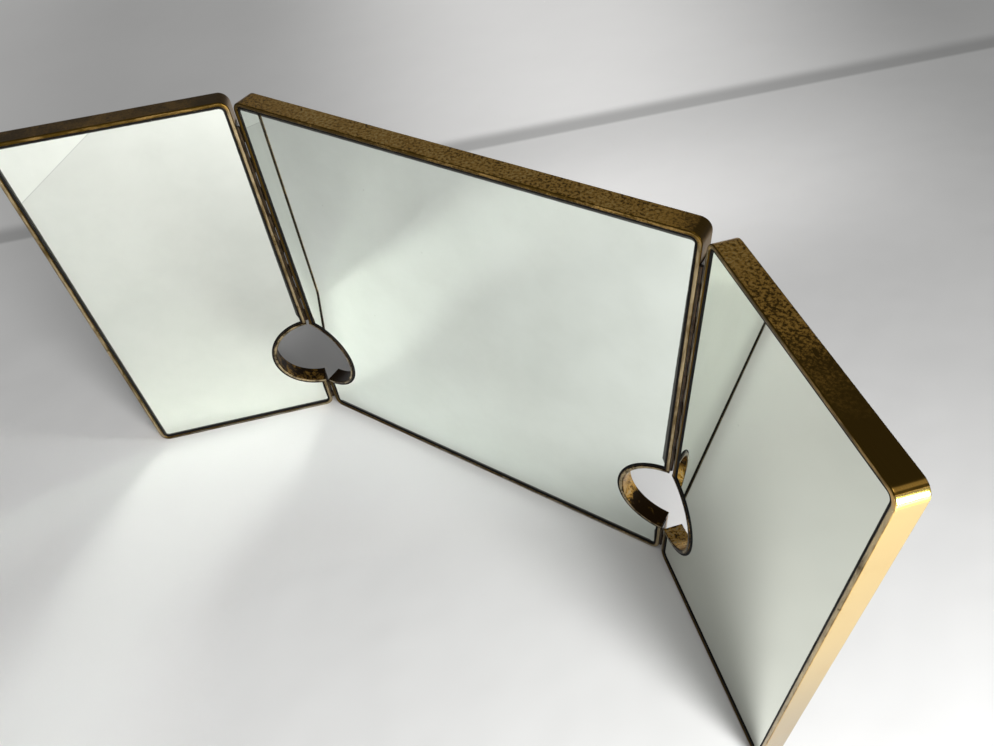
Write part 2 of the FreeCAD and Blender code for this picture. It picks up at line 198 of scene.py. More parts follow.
@dataclass(frozen=True)
class Outline:
    """A panel's outline in its own plane: a rounded rectangle with a half-round at each hinge.

    Attributes:
        left: x of the left edge.
        right: x of the right edge.
        notches: The sign of each edge that has a hinge, and so a half-round.
        sizes: The mirror's sizes.
        step: Distance between points on the straight runs.
        corner_steps: Points round a corner.
        notch_steps: Points round a half-round.
    """

    left: float
    right: float
    notches: tuple[int, ...]
    sizes: Sizes
    step: float = 3.0 * MM
    corner_steps: int = 16
    notch_steps: int = 72

    def edge(self, sign: int) -> float:
        """x of the edge on one side."""
        return self.right if sign > 0 else self.left

    def _chord(self, radius: float, inset: float) -> float:
        """Half the height that a circle about the hinge axis cuts out of the inset edge."""
        return math.sqrt(radius**2 - (self.sizes.edge_gap + inset) ** 2)

    def _half_round(self, sign: int, radius: float, angle: np.ndarray) -> np.ndarray:
        """Points round a half-round.

        They lie at the hinge axis less the side's sign times radius times cos a, and at the
        hole's height plus radius times sin a.

        Args:
            sign: 1 for the right side, -1 for the left.
            radius: Distance from the axis.
            angle: Angles up from the level.

        Returns:
            Points, one row each.
        """
        s = self.sizes
        across = self.edge(sign) + s.edge_gap * sign - sign * radius * np.cos(angle)
        return np.column_stack((across, s.hole_height + radius * np.sin(angle)))

    def _line(
        self, start: tuple[float, float], end: tuple[float, float], length: float
    ) -> np.ndarray:
        """Evenly spaced points from start towards end, without the end.

        Args:
            start: First point.
            end: The point where the next run starts.
            length: The run's length on the panel's edge, which sets how many points it has.

        Returns:
            Points, one row each.
        """
        t = np.linspace(0.0, 1.0, max(2, round(length / self.step)), endpoint=False)[:, None]
        return np.array(start) + (np.array(end) - np.array(start)) * t

    def _corner(self, x: float, z: float, first: float, inset: float) -> np.ndarray:
        """A quarter turn: centre plus radius times (cos, sin) of the angle.

        Args:
            x: The corner of the inset rectangle.
            z: The same corner's height.
            first: Angle of the first point, in quarter turns.
            inset: Distance inward from the panel's edge.

        Returns:
            Points, one row each, without the last.
        """
        radius = self.sizes.bar.corner_at(inset)
        turns = first + np.linspace(0.0, 1.0, self.corner_steps, endpoint=False)
        angle = turns * math.pi / 2
        middle = (first + 0.5) * math.pi / 2
        across = x + radius * (np.cos(angle) - math.copysign(1, math.cos(middle)))
        up = z + radius * (np.sin(angle) - math.copysign(1, math.sin(middle)))
        return np.column_stack((across, up))

    def _side(self, sign: int, inset: float, cope: float | None) -> dict[Run, np.ndarray]:
        """One upright side, with its half-round where it is hinged.

        The half-round's angle runs between the two places where its circle meets the edge.

        Args:
            sign: 1 for the right side, -1 for the left.
            inset: Distance inward from the panel's edge.
            cope: Radius at which the straight stretches stop, or None for the inset half-round.

        Returns:
            Points of the side's runs.
        """
        s = self.sizes
        hinged = sign in self.notches
        edge = self.edge(sign) - inset * sign
        radius = cope if cope is not None else s.hole_radius + inset
        half = self._chord(radius, inset) if hinged else 0.0
        turn = math.acos((s.edge_gap + inset) / radius) if hinged else 0.0
        angle = np.linspace(-turn, turn, self.notch_steps, endpoint=False) * sign
        arc = self._half_round(sign, radius, angle)[: self.notch_steps * hinged]
        foot = inset + s.bar.corner_at(inset)
        ends = [(edge, z) for z in (foot, s.hole_height - half, s.hole_height + half)]
        ends.append((edge, s.height - foot))
        low_length = s.hole_height - s.hole_radius * hinged - s.bar.corner
        high_length = s.height - s.bar.corner - s.hole_height - s.hole_radius * hinged
        if sign > 0:
            return {
                Run.RIGHT_LOW: self._line(ends[0], ends[1], low_length),
                Run.RIGHT_NOTCH: arc,
                Run.RIGHT_HIGH: self._line(ends[2], ends[3], high_length),
            }
        return {
            Run.LEFT_HIGH: self._line(ends[3], ends[2], high_length),
            Run.LEFT_NOTCH: arc,
            Run.LEFT_LOW: self._line(ends[1], ends[0], low_length),
        }

    def runs(self, inset: float, cope: float | None = None) -> dict[Run, np.ndarray]:
        """All runs of the outline moved inward.

        Args:
            inset: Distance inward from the panel's edge.
            cope: Radius at which the sides stop at a half-round, or None to follow it.

        Returns:
            Points of each run, each without its last point, which starts the next run.
        """
        s = self.sizes
        radius = s.bar.corner_at(inset)
        left, right = self.left + inset, self.right - inset
        foot, top = inset, s.height - inset
        across = self.right - self.left - 2 * s.bar.corner
        found = {
            Run.FOOT: self._line((left + radius, foot), (right - radius, foot), across),
            Run.FOOT_RIGHT: self._corner(right, foot, 3, inset),
            Run.TOP_RIGHT: self._corner(right, top, 0, inset),
            Run.TOP: self._line((right - radius, top), (left + radius, top), across),
            Run.TOP_LEFT: self._corner(left, top, 1, inset),
            Run.FOOT_LEFT: self._corner(left, foot, 2, inset),
        }
        found.update(self._side(1, inset, cope))
        found.update(self._side(-1, inset, cope))
        return found

    def ring(self, inset: float) -> np.ndarray:
        """The whole closed outline moved inward.

        Args:
            inset: Distance inward from the panel's edge.

        Returns:
            Points, one row each, in the same number for every inset.
        """
        found = self.runs(inset)
        return np.concatenate([found[run] for run in Run])

    def stretch(self, first: Run, last: Run, inset: float, cope: float) -> np.ndarray:
        """An open part of the outline, from the start of one run to the end of another.

        Args:
            first: The run that it starts with.
            last: The run that it ends with.
            inset: Distance inward from the panel's edge.
            cope: Radius at which it stops at a half-round.

        Returns:
            Points, one row each.
        """
        found = self.runs(inset, cope)
        order = list(Run)
        at = order.index(first)
        picked = []
        while not picked or order[(at - 1) % len(order)] is not last:
            picked.append(found[order[at % len(order)]])
            at += 1
        sign = 1 if last in (Run.RIGHT_LOW, Run.RIGHT_HIGH) else -1
        up = 1 if last in (Run.LEFT_HIGH, Run.RIGHT_HIGH) else -1
        height = self.sizes.hole_height + self._chord(cope, inset) * up
        return np.concatenate([*picked, [[self.edge(sign) - inset * sign, height]]])

    def notch(self, sign: int, inset: float) -> np.ndarray:
        """The half-round at one side, from edge to edge, moved into the panel.

        Args:
            sign: 1 for the right side, -1 for the left.
            inset: Distance from the clear hole into the bar.

        Returns:
            Points, one row each.
        """
        radius = self.sizes.hole_radius + inset
        turn = math.acos(self.sizes.edge_gap / radius)
        return self._half_round(sign, radius, np.linspace(-turn, turn, self.notch_steps))


@dataclass(frozen=True)
class Place:
    """Where a panel's own frame stands in the row frame.

    Attributes:
        x: The own origin's x.
        y: The y of the own frame's depth 0, the panel's front.
        turn: Turn about the upright through the own origin, in radians.
        front: Depth of the panel's front from the axis that it turns about.
    """

    x: float
    y: float
    turn: float = 0.0
    front: float = 0.0

    def put(self, across: np.ndarray, depth: np.ndarray, up: np.ndarray) -> np.ndarray:
        """Turn and move panel coordinates into the row frame.

        Args:
            across: Distances along the panel.
            depth: Distances behind its front.
            up: Heights.

        Returns:
            Points with x, y and z on the last axis.
        """
        back = depth + self.front
        cos, sin = math.cos(self.turn), math.sin(self.turn)
        x = self.x + across * cos - back * sin
        y = self.y + across * sin + back * cos
        return np.stack((x, y, up + 0 * across), axis=-1)


# ---- meshes --------------------------------------------------------------------------------


@dataclass
class Surface:
    """A surface on a grid of rows and columns, as numpy arrays.

    The last column joins the first.

    Attributes:
        points: Positions, rows by columns by 3.
        wrap_rows: Whether the last row joins the first. Otherwise both are closed by flat faces.
        marks: Named values for each point, rows by columns.
    """

    points: np.ndarray
    wrap_rows: bool = False
    marks: dict[str, np.ndarray] = field(default_factory=dict)

    def _lengths(self, axis: int) -> np.ndarray:
        """Running length along one axis of the grid, at its first row or column.

        Args:
            axis: 0 along the rows' order, 1 along the columns'.

        Returns:
            Lengths, one more than there are rows or columns.
        """
        line = self.points[:, 0] if axis == 0 else self.points[0]
        steps = np.linalg.norm(np.diff(np.vstack((line, line[:1])), axis=0), axis=1)
        return np.concatenate(([0.0], np.cumsum(steps)))

    def _cells(self) -> tuple[np.ndarray, np.ndarray]:
        """The rows and columns that the quads start from, as a column and a row of numbers."""
        rows, columns = self.points.shape[:2]
        return np.arange(rows if self.wrap_rows else rows - 1)[:, None], np.arange(columns)[None, :]

    def _faces(self) -> list[list[int]]:
        """The quads between neighbouring points, then the flat faces at the ends.

        Returns:
            The numbers of each face's points.
        """
        rows, columns = self.points.shape[:2]
        row, column = self._cells()
        here, above = row * columns, (row + 1) % rows * columns
        beside = (column + 1) % columns
        quads = (here + column, here + beside, above + beside, above + column)
        faces = np.stack(quads, axis=-1).reshape(-1, 4).tolist()
        if not self.wrap_rows:
            faces.append(list(range(columns))[::-1])
            faces.append(list(range((rows - 1) * columns, rows * columns)))
        return faces

    def _chart(self) -> np.ndarray:
        """The running lengths along and around at each corner of each quad.

        Returns:
            Pairs of lengths, one row for each corner.
        """
        row, column = self._cells()
        along, around = self._lengths(0), self._lengths(1)
        start, end = along[row] + 0 * column, along[row + 1] + 0 * column
        first, last = around[column] + 0 * row, around[column + 1] + 0 * row
        corners = ((start, first), (start, last), (end, last), (end, first))
        return np.stack([np.stack(pair, axis=-1) for pair in corners], axis=2).reshape(-1, 2)

    def build(self, name: str) -> bpy.types.Object:
        """Make the mesh object, with faces outward, a UV map in metres and the marks.

        Args:
            name: The object's name.

        Returns:
            The object, at the origin.
        """
        mesh = bpy.data.meshes.new(name)
        mesh.from_pydata(self.points.reshape(-1, 3).tolist(), [], self._faces())
        chart = self._chart()
        end_faces = np.zeros((len(mesh.loops) - len(chart), 2))
        layer = mesh.uv_layers.new(name="along_and_around")
        layer.data.foreach_set("uv", np.vstack((chart, end_faces)).astype(np.float32).ravel())
        for mark, values in self.marks.items():
            attribute = mesh.attributes.new(mark, "FLOAT", "POINT")
            attribute.data.foreach_set("value", values.astype(np.float32).ravel())
        shell = bmesh.new()
        shell.from_mesh(mesh)
        bmesh.ops.recalc_face_normals(shell, faces=shell.faces)
        shell.to_mesh(mesh)
        shell.free()
        mesh.shade_smooth()
        mesh.set_sharp_from_angle(angle=SHARP_ANGLE)
        made = bpy.data.objects.new(name, mesh)
        bpy.context.scene.collection.objects.link(made)
        return made


@dataclass(frozen=True)
class BarSection:
    """The bar's cross-section: a rectangle with rounded arrises and a slightly crowned front.

    Attributes:
        stock: The bar's sizes.
        depth: Its depth.
        arc_steps: Steps round an arris.
        front_shares: Where the points of the front and back lie between their arrises.
        side_shares: The same for the two sides.
    """

    stock: BarStock
    depth: float
    arc_steps: int = 5
    front_shares: tuple[float, ...] = (0.08, 0.3, 0.5, 0.7, 0.92)
    side_shares: tuple[float, ...] = (0.04, 0.15, 0.29, 0.43, 0.57, 0.71, 0.85, 0.96)

    def loop(self) -> tuple[np.ndarray, np.ndarray, np.ndarray, np.ndarray]:
        """Points round the section.

        Each arris is its centre plus the arris radius times (cos, sin), each face is a straight
        line between two arrises, and the front is lowered by the crown times the square of the
        share of the way from the bar's middle to its side.

        Returns:
            Inset from the outer face, depth from the front, 1 where the point is on the front,
            and 1 where it is on an arris.
        """
        r, thick = self.stock.arris, self.stock.thick
        centres = [(r, r), (thick - r, r), (thick - r, self.depth - r), (r, self.depth - r)]
        starts = (2, 3, 0, 1)
        rising = np.linspace(0.0, 1.0, self.arc_steps + 1)
        on_front = (rising, rising[::-1], 0 * rising, 0 * rising)
        points, front, arris = [], [], []
        for number, ((x, y), start) in enumerate(zip(centres, starts)):
            angle = (start + rising) * math.pi / 2
            arc = np.column_stack((x + r * np.cos(angle), y + r * np.sin(angle)))
            after_x, after_y = centres[(number + 1) % 4]
            end = np.array((after_x + r * np.cos(angle[-1]), after_y + r * np.sin(angle[-1])))
            share = np.array(self.side_shares if number % 2 else self.front_shares)
            face = arc[-1] + (end - arc[-1]) * share[:, None]
            points += [arc, face]
            front += [on_front[number], np.full(len(face), float(number == 0))]
            arris += [np.sin(math.pi * rising), np.zeros(len(face))]
        loop = np.concatenate(points)
        aside = 2 * loop[:, 0] / thick - 1
        loop[:, 1] += np.where(loop[:, 1] < r, self.stock.crown * aside**2, 0.0)
        return loop[:, 0], loop[:, 1], np.concatenate(front), np.concatenate(arris)


def fair_wobble(
    along: np.ndarray,
    seed: int,
    size: float = 0.05 * MM,
    lengths: tuple[float, float] = (18 * MM, 60 * MM),
    count: int = 3,
) -> np.ndarray:
    """A slight hand-made unevenness: a sum of sines, kept from 0 to size.

    Args:
        along: Running length, in metres.
        seed: Picks the sines' lengths and phases.
        size: The largest value.
        lengths: The shortest and the longest wave.
        count: How many sines there are.

    Returns:
        Values from 0 to size.
    """
    draw = np.random.default_rng(seed)
    waves = 2 * math.pi / draw.uniform(*lengths, count)
    phases = draw.uniform(0, 2 * math.pi, count)
    total = sum(np.sin(along * wave + phase) for wave, phase in zip(waves, phases))
    return size * (total / (2 * count) + 0.5)


# ---- materials -----------------------------------------------------------------------------


class Graph:
    """A material's node tree, with short ways to add nodes and join them."""

    def __init__(self, name: str) -> None:
        """Start an empty material.

        Args:
            name: The material's name.
        """
        self.material = bpy.data.materials.new(name)
        self.material.use_nodes = True
        self.tree = self.material.node_tree
        self.tree.nodes.clear()

    def add(self, kind: str, sockets: dict[str | int, Any], **settings: Any) -> bpy.types.Node:
        """Add a node.

        Args:
            kind: The node's type, without the word ShaderNode.
            sockets: Input socket names or numbers, each with a value or another node's output.
            **settings: The node's own settings.

        Returns:
            The node.
        """
        node = self.tree.nodes.new("ShaderNode" + kind)
        for key, value in settings.items():
            setattr(node, key, value)
        for key, value in sockets.items():
            if isinstance(value, bpy.types.NodeSocket):
                self.tree.links.new(value, node.inputs[key])
            else:
                node.inputs[key].default_value = value
        return node

    def place(self, seed: float = 0.0) -> bpy.types.NodeSocket:
        """Object coordinates, in metres, moved along the X axis by a seed.

        Args:
            seed: How far they are moved.

        Returns:
            The coordinates.
        """
        spot = self.add("TexCoord", {}).outputs["Object"]
        if not seed:
            return spot
        sockets = {"Vector": spot, "Location": (seed, 0.0, 0.0)}
        return self.add("Mapping", sockets).outputs["Vector"]

    def height(self) -> bpy.types.NodeSocket:
        """Height above the floor."""
        return self.add("SeparateXYZ", {"Vector": self.place()}).outputs["Z"]

    def mark(self, name: str) -> bpy.types.NodeSocket:
        """A mesh's own named value."""
        return self.add("Attribute", {}, attribute_name=name).outputs["Fac"]

    def lengthwise(self, along: float, around: float) -> bpy.types.NodeSocket:
        """A piece's own UV map, scaled to so many waves a metre each way.

        Args:
            along: Waves in a metre along the piece.
            around: Waves in a metre around it.

        Returns:
            The scaled map.
        """
        chart = self.add("UVMap", {}, uv_map="along_and_around").outputs["UV"]
        scaled = self.add("Mapping", {"Vector": chart, "Scale": (along, around, 1.0)})
        return scaled.outputs["Vector"]

    def noise(
        self, vector: bpy.types.NodeSocket, scale: float, detail: float = 4.0, rough: float = 0.55
    ) -> bpy.types.NodeSocket:
        """Fractal noise of so many features a metre."""
        sockets = {"Vector": vector, "Scale": scale, "Detail": detail, "Roughness": rough}
        return self.add("TexNoise", sockets).outputs["Fac"]

    def range(
        self, value: Any, low: float, high: float, to_low: float = 0.0, to_high: float = 1.0
    ) -> bpy.types.NodeSocket:
        """Map low to high smoothly onto another range."""
        sockets = {0: value, 1: low, 2: high, 3: to_low, 4: to_high}
        return self.add("MapRange", sockets, interpolation_type="SMOOTHSTEP").outputs[0]

    def sum(self, *terms: Any) -> bpy.types.NodeSocket:
        """Add numbers or sockets.

        Args:
            *terms: What is added, in order.

        Returns:
            The sum.
        """
        total = terms[0]
        for term in terms[1:]:
            total = self.add("Math", {0: total, 1: term}, operation="ADD").outputs[0]
        return total

    def less(self, first: Any, second: Any) -> bpy.types.NodeSocket:
        """Take the second number or socket from the first."""
        return self.add("Math", {0: first, 1: second}, operation="SUBTRACT").outputs[0]

    def times(self, *terms: Any) -> bpy.types.NodeSocket:
        """Multiply numbers or sockets.

        Args:
            *terms: What is multiplied, in order.

        Returns:
            The product.
        """
        total = terms[0]
        for term in terms[1:]:
            total = self.add("Math", {0: total, 1: term}, operation="MULTIPLY").outputs[0]
        return total

    def mix(self, factor: Any, first: Any, second: Any) -> bpy.types.NodeSocket:
        """Blend two colours."""
        sockets = {0: factor, 6: paint(first), 7: paint(second)}
        return self.add("Mix", sockets, data_type="RGBA").outputs[2]

    def bump(
        self, height: Any, strength: Any, distance: float, after: Any = None
    ) -> bpy.types.NodeSocket:
        """Raise the surface by a height, on top of an earlier bump.

        Args:
            height: The height, from 0 to 1.
            strength: How much of it shows.
            distance: How high a height of 1 is.
            after: The earlier bump's normal.

        Returns:
            The normal.
        """
        sockets = {"Height": height, "Strength": strength, "Distance": distance}
        if after is not None:
            sockets["Normal"] = after
        return self.add("Bump", sockets).outputs["Normal"]

    def finish(self, sockets: dict[str | int, Any]) -> bpy.types.Material:
        """Add the shader and the output.

        Args:
            sockets: The Principled shader's inputs.

        Returns:
            The material.
        """
        shader = self.add("BsdfPrincipled", sockets)
        self.add("OutputMaterial", {"Surface": shader.outputs[0]})
        return self.material


def paint(colour: Any) -> Any:
    """Give a plain colour its alpha, and leave a socket as it is."""
    return (*colour, 1.0) if isinstance(colour, tuple) and len(colour) == 3 else colour


@dataclass(frozen=True)
class AgedBrass:
    """Brass that goes from clean, through mottled gold brown, to a dark film, which also paints
    shade, dark reflections and a highlight.

    Attributes:
        name: The material's name.
        polished: Where the metal has been rubbed bright.
        clean: Where there is no film.
        shaded_clean: The same near the foot, darker there as painted shade.
        gold: Under half a film.
        beige: The same on the rubbed front edges, most of all below the top.
        dull: The same at the foot.
        film: Under the whole film, which also paints shade and dark reflections.
        to_clean: The thickness over which polished gives way to clean.
        to_gold: The same from clean to gold.
        to_film: The same from gold to film.
        seed: Moves the pattern.
        clouds: How many clouds of thicker film there are in a metre.
        cloudy: How much they thicken it.
        flecks: How many flecks there are in a metre.
        grit: How many finer ones.
        fleck_weight: How much the flecks thicken the film where speckle is 1.
        grit_weight: The same for the grit.
        patches: How many rubbed patches a front has in a metre, along it and around it.
        patchy: How much they thicken the film.
        arris_shade_breaks: How many breaks the line of painted shade on the arrises has in a metre.
        arris_shade: How the line of painted shade on the arrises thickens with the film that it
            lies on.
        dots: How many small dark dots there are in a metre.
        brushed: How many brush marks there are in a metre, along a bar and around it.
        top: The height of the top edge, where the front is not rubbed.
        shaded_clean_to: The heights between which the painted shade at the foot gives way to clean.
        nick: The middle of a small dark nick.
        nick_size: Its half length, half width and half height.
        nick_turn: The way it runs, from the X axis.
    """

    name: str
    polished: Colour = (0.74, 0.56, 0.12)
    clean: Colour = (0.755, 0.535, 0.195)
    shaded_clean: Colour = (0.46, 0.345, 0.175)
    gold: Colour = (0.60, 0.335, 0.066)
    beige: Colour = (0.46, 0.36, 0.21)
    dull: Colour = (0.30, 0.28, 0.235)
    film: Colour = (0.088, 0.050, 0.0075)
    to_clean: tuple[float, float] = (-0.5, -0.15)
    to_gold: tuple[float, float] = (0.02, 0.5)
    to_film: tuple[float, float] = (0.42, 0.98)
    seed: float = 0.0
    clouds: float = 42.0
    cloudy: float = 0.24
    flecks: float = 680.0
    grit: float = 1700.0
    fleck_weight: float = 0.6696
    grit_weight: float = 0.2808
    patches: tuple[float, float] = (75.0, 420.0)
    patchy: float = 0.34
    arris_shade_breaks: float = 150.0
    arris_shade: Span = (0.05, 0.3, 0.0, 0.42)
    dots: float = 330.0
    brushed: tuple[float, float] = (45.0, 5200.0)
    top: float = 0.25
    shaded_clean_to: tuple[float, float] = (0.02, 0.17)
    nick: tuple[float, float, float] = (0.1877, -0.0491, 0.25)
    nick_size: tuple[float, float, float] = (2.4 * MM, 0.9 * MM, 9 * MM)
    nick_turn: float = math.radians(-55)

    def _nick(self, g: Graph) -> bpy.types.NodeSocket:
        """The film that fills the nick: an oval with a soft edge.

        Args:
            g: The material's graph.

        Returns:
            Its thickness.
        """
        turn = (0.0, 0.0, self.nick_turn)
        oval = {"Location": self.nick, "Rotation": turn, "Scale": self.nick_size}
        centred = g.add("Mapping", {"Vector": g.place(), **oval}, vector_type="TEXTURE")
        sockets = {0: centred.outputs["Vector"]}
        reach = g.add("VectorMath", sockets, operation="LENGTH").outputs["Value"]
        return g.range(reach, 0.6, 1.1, 0.8, 0.0)

    def _thickness(
        self, g: Graph, spot: bpy.types.NodeSocket, flecks: bpy.types.NodeSocket
    ) -> bpy.types.NodeSocket:
        """The film's thickness: bright metal below 0, the whole film at 1.

        It is the mark film, plus clouds, plus flecks and grit where speckle asks for them, plus
        patches on the front, plus a line of painted shade on the arrises with breaks in it, plus
        dots where there is film already, plus one nick.

        Args:
            g: The material's graph.
            spot: The place that the pattern is drawn at.
            flecks: The pattern of flecks.

        Returns:
            The thickness.
        """
        # The mark film carries patina, and also painted shade, dark reflections and a highlight.
        film = g.mark("film")
        clouds = g.range(g.noise(spot, self.clouds), 0.30, 0.70)
        grit = g.range(g.noise(spot, self.grit, 3.0, 0.6), 0.36, 0.64)
        weighted = g.sum(g.times(flecks, self.fleck_weight), g.times(grit, self.grit_weight))
        pattern = g.less(weighted, (self.fleck_weight + self.grit_weight) / 2)
        patches = g.range(g.noise(g.lengthwise(*self.patches), 1.0, 4.0, 0.6), 0.32, 0.68)
        # Painted shade: a dark line along the arrises, broken here and there.
        arris_shade_kept = g.range(g.noise(spot, self.arris_shade_breaks), 0.56, 0.70, 1.0, 0.3)
        dots = g.range(g.noise(spot, self.dots, 3.0), 0.64, 0.72, 0.0, 0.30)
        return g.sum(
            film,
            g.times(g.less(clouds, 0.5), self.cloudy),
            g.times(pattern, g.mark("speckle")),
            g.times(g.less(patches, 0.5), g.mark("front"), self.patchy),
            g.times(g.mark("arris"), arris_shade_kept, g.range(film, *self.arris_shade)),
            g.times(dots, g.range(film, 0.0, 0.3, 0.5, 1.0)),
            self._nick(g),
        )

    def _colour(self, g: Graph, thick: bpy.types.NodeSocket) -> bpy.types.NodeSocket:
        """The colour under a film of some thickness.

        Args:
            g: The material's graph.
            thick: The film's thickness.

        Returns:
            The colour.
        """
        front, height = g.mark("front"), g.height()
        below_top = g.range(height, self.top - 7 * MM, self.top - 3 * MM, 1.0, 0.35)
        brown = g.mix(g.times(front, below_top), self.gold, self.beige)
        at_foot = g.times(front, g.range(height, *FOOT_FADE, 1.0, 0.0))
        brown = g.mix(at_foot, brown, self.dull)
        # Painted shade: clean metal grows darker towards the foot.
        clean = g.mix(g.range(height, *self.shaded_clean_to), self.shaded_clean, self.clean)
        colour = g.mix(g.range(thick, *self.to_clean), self.polished, clean)
        colour = g.mix(g.range(thick, *self.to_gold), colour, brown)
        return g.mix(g.range(thick, *self.to_film), colour, self.film)

    def build(self) -> bpy.types.Material:
        """Make the material, which reads the marks film, speckle, front and arris.

        Returns:
            The material.
        """
        g = Graph(self.name)
        spot = g.place(self.seed)
        flecks = g.range(g.noise(spot, self.flecks, 4.0, 0.62), 0.36, 0.64)
        thick = self._thickness(g, spot, flecks)
        brushed = g.noise(g.lengthwise(*self.brushed), 1.0, 3.0)
        rough = g.range(thick, 0.0, 0.6, 0.15, 0.30)
        rough = g.sum(rough, g.range(brushed, 0.3, 0.7, -0.03, 0.05))
        normal = g.bump(g.noise(spot, 34.0, 2.0), 0.25, 0.30 * MM)
        normal = g.bump(brushed, 0.05, 0.05 * MM, normal)
        normal = g.bump(flecks, g.times(g.mark("speckle"), 0.25), 0.03 * MM, normal)
        sockets = {"Base Color": self._colour(g, thick), "Metallic": 1.0}
        return g.finish({**sockets, "Roughness": rough, "Normal": normal})


@dataclass(frozen=True)
class SilveredGlass:
    """Old mirror glass: faintly green, with fine dust, small spots of lost silver that gather near
    its rim, and a dark band of painted shade along some edges.

    Attributes:
        name: The material's name.
        silver: Its clear colour.
        hazed: Its colour where there is haze.
        dust: The colour of the dust's dots.
        lost: The colour of the small spots where the silver is gone.
        dark: The colour of the painted shade along the rim.
        seed: Moves the pattern.
        covered: How far the bead reaches in from the glass's edge.
        ragged: How uneven the dark rim is.
        softness: The width over which it ends.
    """

    name: str
    silver: Colour = (0.835, 0.89, 0.82)
    hazed: Colour = (0.70, 0.74, 0.67)
    dust: Colour = (0.30, 0.29, 0.25)
    lost: Colour = (0.05, 0.047, 0.04)
    dark: Colour = (0.03, 0.027, 0.022)
    seed: float = 0.0
    covered: float = 1.05 * MM
    ragged: float = 0.3 * MM
    softness: float = 0.35 * MM

    def _dust(self, g: Graph, spot: bpy.types.NodeSocket) -> bpy.types.NodeSocket:
        """Where the dots of dust are: one in some of the cells of a scattered pattern.

        Args:
            g: The material's graph.
            spot: The place that the pattern is drawn at.

        Returns:
            1 on a dot, 0 elsewhere.
        """
        cells = g.add("TexVoronoi", {"Vector": spot, "Scale": 60.0}, feature="F1").outputs
        picked = g.add("SeparateColor", {"Color": cells["Color"]}).outputs[0]
        dot = g.range(cells["Distance"], 0.015, 0.045, 1.0, 0.0)
        return g.times(dot, g.range(picked, 0.80, 0.86))

    def build(self) -> bpy.types.Material:
        """Make the material, which reads the marks rim and decay.

        rim is the distance to the edge and the other mark is how far in from the bead painted
        shade darkens the silver, both in metres.

        Returns:
            The material.
        """
        g = Graph(self.name)
        spot, rim = g.place(self.seed), g.mark("rim")
        # Painted shade: a dark band of set width darkens the silver inside the bead along the rim.
        past = g.less(rim, g.mark("decay"))
        past = g.sum(past, g.times(g.noise(spot, 300.0), self.ragged))
        gone = g.range(past, self.covered, self.covered + self.softness, 1.0, 0.0)
        near = g.range(rim, 0.8 * MM, 4.5 * MM, 1.0, 0.0)
        creep = g.sum(g.noise(spot, 240.0, 4.0, 0.6), g.times(near, 0.10))
        lost = g.range(creep, 0.79, 0.83)
        haze = g.range(g.noise(spot, 22.0, 4.0, 0.6), 0.35, 0.72)
        colour = g.mix(g.times(haze, 0.22), self.silver, self.hazed)
        colour = g.mix(g.times(self._dust(g, spot), 0.30), colour, self.dust)
        colour = g.mix(g.times(lost, 0.8), colour, self.lost)
        colour = g.mix(g.times(gone, 0.93), colour, self.dark)
        smear = g.range(g.noise(spot, 30.0, 6.0, 0.7), 0.45, 0.8, 0.008, 0.030)
        rough = g.sum(smear, g.times(lost, 0.25))
        return g.finish({"Base Color": colour, "Metallic": 1.0, "Roughness": rough})


@dataclass(frozen=True)
class BlackPutty:
    """The black glazing bead: matt, a little dusty and uneven.

    Attributes:
        name: The material's name.
        black: Its clean colour.
        dusty: Its colour under dust.
    """

    name: str
    black: Colour = (0.005, 0.004, 0.0035)
    dusty: Colour = (0.020, 0.017, 0.013)

    def build(self) -> bpy.types.Material:
        """Make the material.

        Returns:
            The material.
        """
        g = Graph(self.name)
        spot = g.place()
        dust = g.range(g.noise(spot, 240.0, 5.0), 0.50, 0.80)
        sockets = {
            "Base Color": g.mix(dust, self.black, self.dusty),
            "Roughness": g.range(dust, 0.0, 1.0, 0.55, 0.8),
            "Specular IOR Level": 0.12,
            "Normal": g.bump(g.noise(spot, 500.0, 3.0), 0.35, 0.08 * MM),
        }
        return g.finish(sockets)


@dataclass(frozen=True)
class LeatherCloth:
    """Black grained leathercloth, a little scuffed where it stands proud.

    Attributes:
        name: The material's name.
        groove: The colour between the grains.
        grain: The colour on them.
        scuffed: The colour where it is worn.
        grains: How many grains there are in a metre.
    """

    name: str
    groove: Colour = (0.007, 0.006, 0.006)
    grain: Colour = (0.022, 0.019, 0.018)
    scuffed: Colour = (0.060, 0.052, 0.045)
    grains: float = 950.0

    def build(self) -> bpy.types.Material:
        """Make the material, whose grains are cells bent by a slight warp.

        Returns:
            The material.
        """
        g = Graph(self.name)
        spot = g.place()
        warp = g.add("TexNoise", {"Vector": spot, "Scale": 120.0, "Detail": 2.0}).outputs["Color"]
        bent = g.add("MixRGB", {0: 0.002, 1: spot, 2: warp}, blend_type="ADD").outputs[0]
        sockets = {"Vector": bent, "Scale": self.grains}
        cells = g.add("TexVoronoi", sockets, feature="DISTANCE_TO_EDGE")
        pebble = g.range(cells.outputs["Distance"], 0.0, 0.28)
        scuff = g.range(g.noise(spot, 26.0, 6.0, 0.65), 0.55, 0.80)
        tone = g.mix(pebble, self.groove, self.grain)
        normal = g.bump(pebble, 0.55, 0.10 * MM)
        sockets = {
            "Base Color": g.mix(g.times(scuff, 0.5), tone, self.scuffed),
            "Roughness": g.range(scuff, 0.0, 1.0, 0.55, 0.74),
            "Specular IOR Level": 0.28,
            "Normal": g.bump(g.noise(spot, 60.0, 3.0), 0.30, 0.30 * MM, normal),
        }
        return g.finish(sockets)


